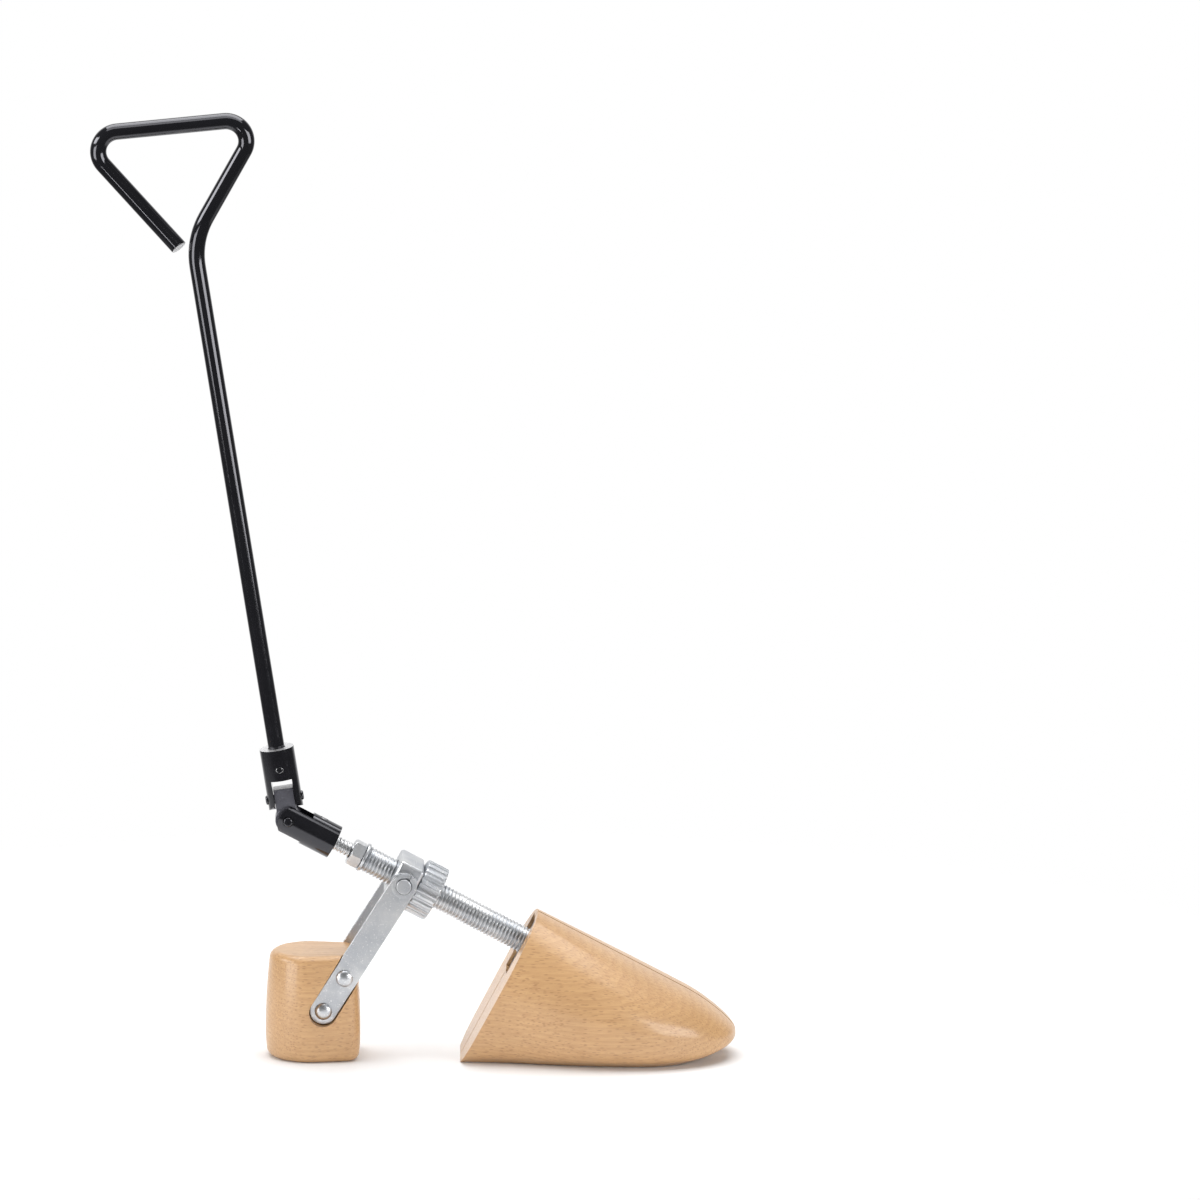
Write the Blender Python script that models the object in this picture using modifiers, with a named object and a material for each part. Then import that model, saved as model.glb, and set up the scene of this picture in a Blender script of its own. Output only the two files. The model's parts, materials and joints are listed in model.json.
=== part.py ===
"""Two-way boot stretcher: a split wooden toe, a wooden heel block and a long steel crank handle.

Metres, +Z up, +X towards the toe, +Y to the left of someone who faces the toe. The floor is Z = 0, and
the origin lies on it, straight below the lower pin of the handle's joint. The spindle's line starts at
that pin and slopes down into the toe: "along" means along that line, counted from the pin.
"""

import math

import bmesh
import bpy
from mathutils import Matrix, Vector

# Clearance between pieces that touch or slide
FIT = 0.0003

# How the stretcher stands
HANDLE_LEAN = math.radians(9.0)
SPINDLE_SLOPE = math.radians(28.0)
SOLE_COVER = 0.0111

# Handle, one round bar bent into a three-sided grip
ROD_DIAMETER = 0.0087
HANDLE_REACH = 0.3045
GRIP_ARM_LENGTH = 0.0755
GRIP_ARM_ANGLE = math.radians(38.0)
GRIP_BAR_LENGTH = 0.0983
GRIP_BAR_TILT = math.radians(3.3)
GRIP_CORNER_RADIUS = 0.0108
NECK_BEND_RADIUS = 0.042
FREE_END_GAP = 0.0036
FREE_END_DROP = 0.0029

# Universal joint, two slotted sockets on a link with crossed pins
SOCKET_DIAMETER = 0.0182
SOCKET_REACH = 0.0275
EAR_TIP = 0.0052
RIM_CHAMFER = 0.0005
SLOT_DEPTH = 0.011
LINK_WIDTH = 0.0104
LINK_DIAMETER = 0.0134
LINK_DEPTH = 0.0096
LINK_TOP = 0.0058
LINK_ROUNDING = 0.0008
PIN_SPACING = 0.0113
JOINT_PIN_DIAMETER = 0.005
JOINT_PIN_HEAD = 0.001
JOINT_PIN_DOME = 0.8
ROD_END_GAP = 0.002
SOCKET_PIN_DIAMETER = 0.0036
SOCKET_PIN_PLACE = 0.017

# Spindle, its thrust nut and the tube that it turns in
SPINDLE_DIAMETER = 0.008
BARE_SPINDLE = 0.010
THRUST_NUT_FLATS = 0.013
THRUST_NUT_THICKNESS = 0.0065
WASHER_DIAMETER = 0.016
WASHER_THICKNESS = 0.0015
SPINDLE_PLAY = 0.0004
TUBE_WALL = 0.0026

# Heel carriage on the tube, and the nut that sets the length
REAR_TRAVEL = 0.014
FRONT_TRAVEL = 0.022
TRAVEL_SPARE = 0.002
CARRIAGE_LENGTH = 0.014
CARRIAGE_WIDTH = 0.030
CARRIAGE_HEIGHT = 0.022
CARRIAGE_ROUNDING = 0.002
TRUNNION_DIAMETER = 0.008
TRUNNION_OVERHANG = 0.0015
CLIP_DIAMETER = 0.013
CLIP_THICKNESS = 0.001
LENGTH_NUT_DIAMETER = 0.030
LENGTH_NUT_THICKNESS = 0.012
FLUTE_DEPTH = 0.0008
FLUTE_COUNT = 24
NUT_TO_TOE = 0.0293

# Heel straps and the wooden heel block
STRAP_WIDTH = 0.014
STRAP_THICKNESS = 0.003
LOWER_RIVET_HEIGHT = 0.0274
STRAP_ANGLE = math.radians(57.9)
RIVET_SPACING = 0.021
RIVET_DIAMETER = 0.005
RIVET_HEAD_DIAMETER = 0.009
RIVET_HEAD_HEIGHT = 0.0022
RECESS_MARGIN = 0.0005
HEEL_WIDTH = 0.048
HEEL_FRONT_WIDTH = 0.040
HEEL_FRONT_REACH = 0.026
HEEL_CORNER_RADIUS = 0.006
HEEL_HEIGHT = 0.057
HEEL_ROUNDING = 0.004
HEEL_BEHIND_RIVET = 0.0065
HEEL_FULLEST = 0.25
HEEL_FOOT_DRAW = 0.05
HEEL_TOP_DRAW = 0.11

# Spreader frame in the toe
REAR_BLOCK_WIDTH = 0.021
FRONT_BLOCK_WIDTH = 0.016
BLOCK_MARGIN = 0.0006
RAIL_THICKNESS = 0.003
RAIL_INSET = 0.0005
SPINDLE_TIP_SEAT = 0.0030
SET_SCREW_DIAMETER = 0.004
GUIDE_PIN_DIAMETER = 0.006
GUIDE_PIN_WALL = 0.0012
GUIDE_PIN_WEB = 0.0029
GUIDE_PIN_END_ROOM = 0.001
REAR_PIN_COVER = 0.0045
FRONT_PIN_COVER = 0.012
BUSH_WALL = 0.0012
BUSH_LENGTH = 0.012
BUSH_COVER = 0.0015

# Wedge and the wear plates that it drives apart
SPINDLE_PITCH = 0.002
WIDTH_TURNS = 12
WEDGE_LENGTH = 0.034
WEDGE_HEIGHT = 0.0184
WEDGE_WALL = 0.0022
WEDGE_ANGLE = math.radians(18.0)
WEDGE_STOP_GAP = 0.0005
WEDGE_FRONT_GAP = 0.0025
PLATE_END_WALL = 0.0027
PLATE_WEB = 0.0015
PLATE_THICKNESS = 0.0025
STUD_NECK_DIAMETER = 0.0044
STUD_HEAD_DIAMETER = 0.0084
STUD_HEAD_HEIGHT = 0.002
STUD_ROOT = 0.006
STUD_EDGE_DISTANCE = 0.005
PLATE_SCREW_DIAMETER = 0.0035
PLATE_SCREW_HEAD = 0.0064
PLATE_SCREW_LENGTH = 0.014
PLATE_SCREW_POINT = 0.002

# Wooden toe, a last split down the middle
SPLIT_GAP = 0.0015
TOP_COVER = 0.0045
BALL_WIDTH = 0.084
WAIST_WIDTH = 0.060
BALL_TO_TIP = 0.064
TOE_BEYOND_FRAME = 0.0384
TOE_WIDEST = 0.36
NOSE_LENGTH = 0.028
NOSE_HEIGHT = 0.012
TOE_SPRING = 0.006
TOE_SPRING_LENGTH = 0.046
SOLE_FLAT = 0.001
REAR_OVERRUN = 0.006

# How square the toe's curves are: 2 is an ellipse, and more is squarer
TOE_PLAN_POWER = 2.2
TOE_NOSE_POWER = 2.4
TOE_UPPER_POWER = 2.2
TOE_SOLE_POWER = 4.5

# Facets round a full turn
FINE_SIDES = 28
COARSE_SIDES = 16

# Diameters and widths that follow from what passes through
tube_bore = SPINDLE_DIAMETER + 2 * SPINDLE_PLAY
tube_diameter = tube_bore + 2 * TUBE_WALL
bush_diameter = GUIDE_PIN_DIAMETER + 2 * FIT + 2 * BUSH_WALL
rear_block_thickness = GUIDE_PIN_DIAMETER + 2 * FIT + 2 * GUIDE_PIN_WALL
front_block_thickness = SPINDLE_TIP_SEAT + rear_block_thickness
wedge_narrow_width = SPINDLE_DIAMETER + 2 * FIT + 2 * WEDGE_WALL
rail_width = wedge_narrow_width - 2 * RAIL_INSET
wedge_travel = SPINDLE_PITCH * WIDTH_TURNS

# Places along the spindle's line, counted from the lower joint pin
spindle_start = SLOT_DEPTH + ROD_END_GAP
thrust_nut_start = SOCKET_REACH + BARE_SPINDLE
washer_start = thrust_nut_start + THRUST_NUT_THICKNESS + FIT
tube_start = washer_start + WASHER_THICKNESS + FIT
carriage_start = tube_start + TRAVEL_SPARE + REAR_TRAVEL
trunnion_place = carriage_start + CARRIAGE_LENGTH / 2
length_nut_start = carriage_start + CARRIAGE_LENGTH + FIT
toe_face = length_nut_start + LENGTH_NUT_THICKNESS + FRONT_TRAVEL + NUT_TO_TOE
rear_guide_pin_place = toe_face + BUSH_COVER + bush_diameter / 2 + FIT
rear_block_start = rear_guide_pin_place - rear_block_thickness / 2
rear_block_end = rear_guide_pin_place + rear_block_thickness / 2
wedge_start = rear_block_end + WEDGE_STOP_GAP + wedge_travel
wedge_end = wedge_start + WEDGE_LENGTH
front_block_start = wedge_end + WEDGE_FRONT_GAP
front_block_end = front_block_start + front_block_thickness
front_guide_pin_place = front_block_end - rear_block_thickness / 2
spindle_end = front_block_start + SPINDLE_TIP_SEAT - FIT

# Heights above and below the spindle's line
rail_inside = WEDGE_HEIGHT / 2 + FIT
rail_outside = rail_inside + RAIL_THICKNESS
block_top = rail_outside + BLOCK_MARGIN
rear_guide_pin_drop = (tube_diameter + GUIDE_PIN_DIAMETER) / 2 + 2 * FIT + GUIDE_PIN_WEB
rear_block_bottom = rear_guide_pin_drop + GUIDE_PIN_DIAMETER / 2 + FIT + GUIDE_PIN_WALL

# Places across the toe
slope_ratio = math.tan(WEDGE_ANGLE)
plate_middle = (wedge_start + wedge_end) / 2
plate_inside = wedge_narrow_width / 2 + slope_ratio * WEDGE_LENGTH / 2 + FIT / math.cos(WEDGE_ANGLE)
stud_place = (WEDGE_LENGTH / 2 - STUD_EDGE_DISTANCE) / math.cos(WEDGE_ANGLE)
stud_slide = wedge_travel / math.cos(WEDGE_ANGLE)
plate_centre = stud_place - stud_slide / 2
plate_length = stud_slide + STUD_NECK_DIAMETER + 2 * FIT + 2 * PLATE_END_WALL
plate_screw_spacing = STUD_NECK_DIAMETER + 4 * FIT + 2 * PLATE_WEB + PLATE_SCREW_HEAD
plate_height = plate_screw_spacing + PLATE_SCREW_HEAD + 2 * FIT + 2 * PLATE_WEB

# The lower joint pin's height above the floor, which leaves the wood of the sole under the frame's front
joint_height = (
    SOLE_COVER + front_block_end * math.sin(SPINDLE_SLOPE) + block_top * math.cos(SPINDLE_SLOPE)
)

# Turns that lay a piece's own Z along another axis of its parent
ALONG_X = (0.0, math.pi / 2, 0.0)
ALONG_Y = (-math.pi / 2, 0.0, 0.0)
ALONG_Z = (0.0, 0.0, 0.0)
# A flat outline drawn in X and Z, with its thickness along Y
UPRIGHT = (math.pi / 2, 0.0, 0.0)
# A socket's own Z along the spindle, and its pin across
SOCKET_ON_SPINDLE = (math.pi / 2, 0.0, math.pi / 2)


def clear_scene():
    for piece in list(bpy.data.objects):
        bpy.data.objects.remove(piece, do_unlink=True)


def new_collection(name):
    collection = bpy.data.collections.new(name)
    bpy.context.scene.collection.children.link(collection)
    return collection


clear_scene()
PARTS = new_collection("boot_stretcher")
CUTTERS = new_collection("cutters")
GUIDES = new_collection("guides")


def make_material(name, colour, roughness, metallic):
    material = bpy.data.materials.new(name)
    material.use_nodes = True
    shader = material.node_tree.nodes["Principled BSDF"]
    shader.inputs["Base Color"].default_value = (*colour, 1.0)
    shader.inputs["Roughness"].default_value = roughness
    shader.inputs["Metallic"].default_value = metallic
    return material


BLACK_PAINT = make_material("black_paint", (0.012, 0.012, 0.016), 0.22, 0.0)
DARK_STEEL = make_material("dark_steel", (0.06, 0.06, 0.07), 0.35, 0.9)
ZINC = make_material("zinc_plate", (0.62, 0.63, 0.65), 0.32, 1.0)
BRASS = make_material("brass", (0.72, 0.52, 0.22), 0.30, 1.0)
BEECH = make_material("varnished_beech", (0.62, 0.38, 0.19), 0.38, 0.0)


def guide(name, parent, place, turn=ALONG_Z):
    """An empty that carries pieces, standing on a joint's axis or a line of the mechanism."""
    empty = bpy.data.objects.new(name, None)
    GUIDES.objects.link(empty)
    empty.hide_render = True
    empty.parent = parent
    empty.location = place
    empty.rotation_euler = turn
    return empty


def add_piece(name, mesh, material, parent, place, turn):
    """Link a mesh as a piece, or as a cutter where it has no material."""
    piece = bpy.data.objects.new(name, mesh)
    if material:
        PARTS.objects.link(piece)
        mesh.materials.append(material)
        mesh.shade_smooth()
        mesh.set_sharp_from_angle(angle=math.radians(35.0))
    else:
        CUTTERS.objects.link(piece)
        piece.hide_render = True
        piece.display_type = "WIRE"
    piece.parent = parent
    piece.location = place
    piece.rotation_euler = turn
    return piece


def mesh_from(name, shape):
    mesh = bpy.data.meshes.new(name)
    shape.to_mesh(mesh)
    shape.free()
    return mesh


def box(name, size, material, parent, place, turn=ALONG_Z, rounding=0.0):
    shape = bmesh.new()
    bmesh.ops.create_cube(shape, size=1.0, matrix=Matrix.Diagonal((*size, 1.0)))
    piece = add_piece(name, mesh_from(name, shape), material, parent, place, turn)
    if rounding:
        bevel = piece.modifiers.new("rounding", "BEVEL")
        bevel.width = rounding
        bevel.segments = 3
    return piece


def cylinder(name, diameter, length, material, parent, place, turn, sides=FINE_SIDES):
    shape = bmesh.new()
    bmesh.ops.create_cone(
        shape,
        cap_ends=True,
        segments=sides,
        radius1=diameter / 2,
        radius2=diameter / 2,
        depth=length,
    )
    return add_piece(name, mesh_from(name, shape), material, parent, place, turn)


def turned(name, profile, material, parent, place, turn, sides=FINE_SIDES, ring=False):
    """A profile of (radius, height) pairs, outer side from top to bottom, turned round its own Z."""
    points = [(radius, 0.0, height) for radius, height in profile]
    edges = [(i, i + 1) for i in range(len(points) - 1)]
    if ring:
        edges.append((len(points) - 1, 0))
    mesh = bpy.data.meshes.new(name)
    mesh.from_pydata(points, edges, [])
    piece = add_piece(name, mesh, material, parent, place, turn)
    screw = piece.modifiers.new("turning", "SCREW")
    screw.axis = "Z"
    screw.steps = sides
    screw.render_steps = sides
    screw.use_merge_vertices = True
    screw.merge_threshold = 0.00001
    screw.use_smooth_shade = True
    return piece


def ring_profile(outer_diameter, inner_diameter, top, bottom, chamfer=0.0):
    outer = outer_diameter / 2
    inner = inner_diameter / 2
    if not chamfer:
        return [(outer, top), (outer, bottom), (inner, bottom), (inner, top)]
    return [
        (outer - chamfer, top),
        (outer, top - chamfer),
        (outer, bottom + chamfer),
        (outer - chamfer, bottom),
        (inner, bottom),
        (inner, top),
    ]


def dome(radius, top, shoulder, steps=3):
    """A profile over a low dome, from its middle down to its shoulder."""
    angles = [math.pi / 2 * i / steps for i in range(steps + 1)]
    return [(radius * math.sin(a), shoulder + (top - shoulder) * math.cos(a)) for a in angles]


def mesh_of_curve(curve_piece, name):
    """The curve's solid as a mesh with its loose caps welded on; the curve itself is removed."""
    bpy.context.view_layer.update()
    evaluated = curve_piece.evaluated_get(bpy.context.evaluated_depsgraph_get())
    mesh = bpy.data.meshes.new_from_object(evaluated)
    mesh.name = name
    mesh.materials.clear()
    shape = bmesh.new()
    shape.from_mesh(mesh)
    bmesh.ops.remove_doubles(shape, verts=shape.verts, dist=0.000001)
    bmesh.ops.recalc_face_normals(shape, faces=shape.faces)
    shape.to_mesh(mesh)
    shape.free()
    bpy.data.objects.remove(curve_piece, do_unlink=True)
    return mesh


def outlined(name, outline, thickness, material, parent, place, turn=ALONG_Z):
    """A flat closed outline of (x, y) pairs with a thickness centred on its own Z = 0."""
    curve = bpy.data.curves.new(name, "CURVE")
    curve.dimensions = "2D"
    curve.fill_mode = "BOTH"
    curve.extrude = thickness / 2
    spline = curve.splines.new("POLY")
    spline.points.add(len(outline) - 1)
    for point, (x, y) in zip(spline.points, outline):
        point.co = (x, y, 0.0, 1.0)
    spline.use_cyclic_u = True
    curve_piece = bpy.data.objects.new(name + "_outline", curve)
    GUIDES.objects.link(curve_piece)
    return add_piece(name, mesh_of_curve(curve_piece, name), material, parent, place, turn)


def combine(piece, other, operation="DIFFERENCE"):
    modifier = piece.modifiers.new(other.name, "BOOLEAN")
    modifier.operation = operation
    modifier.solver = "EXACT"
    modifier.object = other


def arc_points(centre, radius, start, end, steps):
    """Points on an arc in a plane, from one angle to another, both ends included."""
    angles = [start + (end - start) * i / steps for i in range(steps + 1)]
    return [(centre[0] + radius * math.cos(a), centre[1] + radius * math.sin(a)) for a in angles]


def stadium(start, end, radius, steps=10):
    """A bar's outline round two end points, with half-round ends."""
    heading = math.atan2(end[1] - start[1], end[0] - start[0])
    quarter = math.pi / 2
    far_end = arc_points(end, radius, heading - quarter, heading + quarter, steps)
    near_end = arc_points(start, radius, heading + quarter, heading + 3 * quarter, steps)
    return far_end + near_end


def rounded_corner(before, corner, after, radius, steps):
    """The bend that replaces a corner of a bar's centre line, as points on its arc."""
    towards = (before - corner).normalized()
    away = (after - corner).normalized()
    half_angle = towards.angle(away) / 2
    centre = corner + (towards + away).normalized() * radius / math.sin(half_angle)
    first = corner + towards * radius / math.tan(half_angle) - centre
    last = corner + away * radius / math.tan(half_angle) - centre
    turn_angle = first.angle(last)
    return [
        centre + (first * math.sin(turn_angle * (1 - i / steps)) + last * math.sin(turn_angle * i / steps))
        / math.sin(turn_angle)
        for i in range(steps + 1)
    ]


# Lines and joint axes that the pieces hang on
spindle_line = guide("spindle_line", None, (0.0, 0.0, joint_height), (0.0, SPINDLE_SLOPE, 0.0))
link_line = guide("link_line", None, (0.0, 0.0, joint_height), (0.0, -HANDLE_LEAN, 0.0))
handle_line = guide("handle_line", link_line, (0.0, 0.0, PIN_SPACING))
carriage_line = guide("carriage_line", spindle_line, (trunnion_place, 0.0, 0.0))
trunnion_spot = Vector(
    (
        trunnion_place * math.cos(SPINDLE_SLOPE),
        0.0,
        joint_height - trunnion_place * math.sin(SPINDLE_SLOPE),
    )
)
heel_line = guide("heel_line", None, trunnion_spot)


# Universal joint

slot_width = LINK_WIDTH + 2 * FIT
clear_through = 2 * SOCKET_DIAMETER


def make_socket(name, bar_diameter, parent, turn):
    """A slotted sleeve. Its own Z runs from its joint pin to its rim, and the joint pin lies along X."""
    radius = SOCKET_DIAMETER / 2
    profile = ring_profile(SOCKET_DIAMETER, bar_diameter + 2 * FIT, SOCKET_REACH, -2 * EAR_TIP, RIM_CHAMFER)
    socket = turned(name, profile, BLACK_PAINT, parent, (0, 0, 0), turn, ring=True)
    shoulder = SOCKET_REACH + radius
    ear_radius = radius + FIT
    ear_centre = ear_radius - EAR_TIP
    ear_outline = [(radius * 2, shoulder), (-radius * 2, shoulder), (-radius * 2, ear_centre)]
    ear_outline += arc_points((0.0, ear_centre), ear_radius, math.pi, 2 * math.pi, 16)
    ear_outline += [(radius * 2, ear_centre)]
    frame = guide(name + "_frame", parent, (0, 0, 0), turn)
    ear_form = outlined(
        name + "_ear_form", ear_outline, clear_through, None, frame, (0, 0, 0),
        (math.pi / 2, 0.0, math.pi / 2),
    )
    combine(socket, ear_form, "INTERSECT")
    slot_length = SLOT_DEPTH + 3 * EAR_TIP
    slot = box(
        name + "_slot", (slot_width, clear_through, slot_length), None, frame,
        (0, 0, SLOT_DEPTH - slot_length / 2),
    )
    combine(socket, slot)
    hole = cylinder(
        name + "_joint_hole", JOINT_PIN_DIAMETER + 2 * FIT, clear_through, None, frame,
        (0, 0, 0), ALONG_X, COARSE_SIDES,
    )
    combine(socket, hole)
    cross_hole = cylinder(
        name + "_cross_hole", SOCKET_PIN_DIAMETER + 2 * FIT, clear_through, None, frame,
        (0, 0, SOCKET_PIN_PLACE), ALONG_Y, COARSE_SIDES,
    )
    combine(socket, cross_hole)
    return frame, cross_hole


def make_joint_pin(name, parent, place, turn):
    """A riveted pin with a low dome at each end."""
    half = SOCKET_DIAMETER / 2 + JOINT_PIN_HEAD
    radius = JOINT_PIN_DIAMETER / 2
    shoulder = half - JOINT_PIN_HEAD * JOINT_PIN_DOME
    profile = dome(radius, half, shoulder)
    profile += [(reach, -height) for reach, height in reversed(profile)]
    turned(name, profile, BLACK_PAINT, parent, place, turn, COARSE_SIDES)


def make_socket_pin(name, frame):
    """The cross pin that locks a bar in its socket, cut flush with the sleeve."""
    cylinder(
        name, SOCKET_PIN_DIAMETER, SOCKET_DIAMETER - FIT, BLACK_PAINT, frame,
        (0, 0, SOCKET_PIN_PLACE), ALONG_Y, COARSE_SIDES,
    )


def make_link():
    """A round eye on the lower pin, with a square block above it on the upper pin."""
    link = cylinder("joint_link", LINK_DIAMETER, LINK_WIDTH, DARK_STEEL, link_line, (0, 0, 0), ALONG_Y)
    height = LINK_TOP + LINK_DIAMETER / 2
    upper = box(
        "upper_block", (LINK_WIDTH, LINK_DEPTH, height), None, link_line,
        (0, 0, PIN_SPACING + LINK_TOP - height / 2), rounding=LINK_ROUNDING,
    )
    combine(link, upper, "UNION")
    hole_diameter = JOINT_PIN_DIAMETER + 2 * FIT
    for name, height, turn in (("lower", 0.0, ALONG_Y), ("upper", PIN_SPACING, ALONG_X)):
        hole = cylinder(
            name + "_link_hole", hole_diameter, clear_through, None, link_line, (0, 0, height), turn,
            COARSE_SIDES,
        )
        combine(link, hole)


handle_frame, handle_cross_hole = make_socket("handle_socket", ROD_DIAMETER, handle_line, ALONG_Z)
spindle_frame, spindle_cross_hole = make_socket(
    "spindle_socket", SPINDLE_DIAMETER, spindle_line, SOCKET_ON_SPINDLE
)
make_socket_pin("handle_socket_pin", handle_frame)
make_socket_pin("spindle_socket_pin", spindle_frame)
make_link()
make_joint_pin("upper_joint_pin", link_line, (0, 0, PIN_SPACING), ALONG_X)
make_joint_pin("lower_joint_pin", link_line, (0, 0, 0), ALONG_Y)


# Handle

def handle_path():
    """The bar's centre line in the handle's own X and Z, from its socket to its free end."""
    foot = Vector((0.0, SLOT_DEPTH + ROD_END_GAP))
    neck = Vector((0.0, HANDLE_REACH))
    front_corner = neck + GRIP_ARM_LENGTH * Vector((math.sin(GRIP_ARM_ANGLE), math.cos(GRIP_ARM_ANGLE)))
    backwards = Vector((-math.cos(GRIP_BAR_TILT), math.sin(GRIP_BAR_TILT)))
    rear_corner = front_corner + GRIP_BAR_LENGTH * backwards
    free_end = neck - Vector((ROD_DIAMETER / 2 + FREE_END_GAP, FREE_END_DROP))
    path = [foot]
    path += rounded_corner(foot, neck, front_corner, NECK_BEND_RADIUS, 6)
    path += rounded_corner(neck, front_corner, rear_corner, GRIP_CORNER_RADIUS, 8)
    path += rounded_corner(front_corner, rear_corner, free_end, GRIP_CORNER_RADIUS, 8)
    path.append(free_end)
    return path


def make_handle():
    curve = bpy.data.curves.new("handle", "CURVE")
    curve.dimensions = "3D"
    curve.bevel_depth = ROD_DIAMETER / 2
    curve.bevel_resolution = 4
    curve.use_fill_caps = True
    path = handle_path()
    spline = curve.splines.new("POLY")
    spline.points.add(len(path) - 1)
    for point, (x, z) in zip(spline.points, path):
        point.co = (x, 0.0, z, 1.0)
    curve_piece = bpy.data.objects.new("handle_centre_line", curve)
    GUIDES.objects.link(curve_piece)
    handle = add_piece(
        "handle", mesh_of_curve(curve_piece, "handle"), BLACK_PAINT, handle_line, (0, 0, 0), ALONG_Z
    )
    combine(handle, handle_cross_hole)


make_handle()


# Spindle, thrust nut, washer and tube

def along_spindle(start, end):
    """The middle of a stretch of the spindle's line."""
    return ((start + end) / 2, 0.0, 0.0)


def make_spindle():
    spindle = cylinder(
        "spindle", SPINDLE_DIAMETER, spindle_end - spindle_start, ZINC, spindle_line,
        along_spindle(spindle_start, spindle_end), ALONG_X,
    )
    combine(spindle, spindle_cross_hole)


def make_thrust_nut():
    across_corners = THRUST_NUT_FLATS / math.cos(math.pi / 6)
    place = along_spindle(thrust_nut_start, thrust_nut_start + THRUST_NUT_THICKNESS)
    nut = cylinder(
        "thrust_nut", across_corners, THRUST_NUT_THICKNESS, ZINC, spindle_line, place, ALONG_X, 6
    )
    bore = cylinder(
        "thrust_nut_bore", SPINDLE_DIAMETER + 2 * FIT, 2 * THRUST_NUT_THICKNESS, None, spindle_line,
        place, ALONG_X,
    )
    combine(nut, bore)


def make_washer():
    profile = ring_profile(WASHER_DIAMETER, SPINDLE_DIAMETER + 2 * FIT, WASHER_THICKNESS, 0.0)
    turned("thrust_washer", profile, ZINC, spindle_line, (washer_start, 0, 0), ALONG_X, ring=True)


def make_tube():
    profile = ring_profile(tube_diameter, tube_bore, rear_block_end - FIT - tube_start, 0.0)
    turned("length_tube", profile, ZINC, spindle_line, (tube_start, 0, 0), ALONG_X, ring=True)


make_spindle()
make_thrust_nut()
make_washer()
make_tube()


# Heel carriage and length nut

strap_inside = CARRIAGE_WIDTH / 2 + FIT
strap_outside = strap_inside + STRAP_THICKNESS
clip_inside = strap_outside + FIT
trunnion_length = 2 * (clip_inside + CLIP_THICKNESS + TRUNNION_OVERHANG)


def make_carriage():
    carriage = box(
        "trunnion_block", (CARRIAGE_LENGTH, CARRIAGE_WIDTH, CARRIAGE_HEIGHT), ZINC, carriage_line,
        (0, 0, 0), rounding=CARRIAGE_ROUNDING,
    )
    stubs = cylinder(
        "trunnion_stubs", TRUNNION_DIAMETER, trunnion_length, None, carriage_line, (0, 0, 0), ALONG_Y
    )
    combine(carriage, stubs, "UNION")
    bore = cylinder(
        "carriage_bore", tube_diameter + 2 * FIT, 2 * CARRIAGE_LENGTH, None, carriage_line, (0, 0, 0),
        ALONG_X,
    )
    combine(carriage, bore)


def make_trunnion_clip(name, side):
    half = CLIP_THICKNESS / 2
    profile = ring_profile(CLIP_DIAMETER, TRUNNION_DIAMETER + 2 * FIT, half, -half)
    place = (0, side * (clip_inside + half), 0)
    turned(name, profile, ZINC, carriage_line, place, ALONG_Y, COARSE_SIDES, ring=True)


def make_length_nut():
    """A hand nut with a fluted rim."""
    steps = 4 * FLUTE_COUNT
    outline = []
    for i in range(steps):
        angle = 2 * math.pi * i / steps
        radius = LENGTH_NUT_DIAMETER / 2 - FLUTE_DEPTH * (1 + math.cos(FLUTE_COUNT * angle)) / 2
        outline.append((radius * math.cos(angle), radius * math.sin(angle)))
    place = along_spindle(length_nut_start, length_nut_start + LENGTH_NUT_THICKNESS)
    nut = outlined("length_nut", outline, LENGTH_NUT_THICKNESS, ZINC, spindle_line, place, ALONG_X)
    bore = cylinder(
        "length_nut_bore", tube_diameter + 2 * FIT, 2 * LENGTH_NUT_THICKNESS, None, spindle_line, place,
        ALONG_X,
    )
    combine(nut, bore)


make_carriage()
make_trunnion_clip("left_trunnion_clip", 1)
make_trunnion_clip("right_trunnion_clip", -1)
make_length_nut()


# Heel straps and heel block

strap_length = (trunnion_spot.z - LOWER_RIVET_HEIGHT) / math.sin(STRAP_ANGLE)
strap_heading = (-math.cos(STRAP_ANGLE), -math.sin(STRAP_ANGLE))


def on_strap(distance):
    """A point on the straps' centre line, counted from the trunnion, in the heel's own X and Z."""
    return (strap_heading[0] * distance, strap_heading[1] * distance)


rivet_places = {
    "lower_heel_rivet": on_strap(strap_length),
    "upper_heel_rivet": on_strap(strap_length - RIVET_SPACING),
}


def make_heel_holes():
    """Cutters through both straps and the block: one for each rivet."""
    holes = []
    for name, (x, z) in rivet_places.items():
        hole = cylinder(
            name + "_hole", RIVET_DIAMETER + 2 * FIT, 2 * HEEL_WIDTH, None, heel_line, (x, 0, z), ALONG_Y,
            COARSE_SIDES,
        )
        holes.append(hole)
    return holes


heel_holes = make_heel_holes()
trunnion_hole = cylinder(
    "trunnion_hole", TRUNNION_DIAMETER + 2 * FIT, 2 * HEEL_WIDTH, None, heel_line, (0, 0, 0), ALONG_Y
)


def make_strap(name, side):
    outline = stadium((0.0, 0.0), on_strap(strap_length), STRAP_WIDTH / 2)
    place = (0, side * (strap_inside + STRAP_THICKNESS / 2), 0)
    strap = outlined(name, outline, STRAP_THICKNESS, ZINC, heel_line, place, UPRIGHT)
    combine(strap, trunnion_hole)
    for hole in heel_holes:
        combine(strap, hole)


def make_heel_rivet(name):
    """A rivet through both straps and the block, with a domed head outside each strap."""
    x, z = rivet_places[name]
    shank = RIVET_DIAMETER / 2
    head = RIVET_HEAD_DIAMETER / 2
    seat = strap_outside + FIT
    top = seat + RIVET_HEAD_HEIGHT
    profile = dome(head, top, seat) + [(shank, seat)]
    profile += [(reach, -height) for reach, height in reversed(profile)]
    turned(name, profile, ZINC, heel_line, (x, 0, z), ALONG_Y, COARSE_SIDES)


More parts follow.
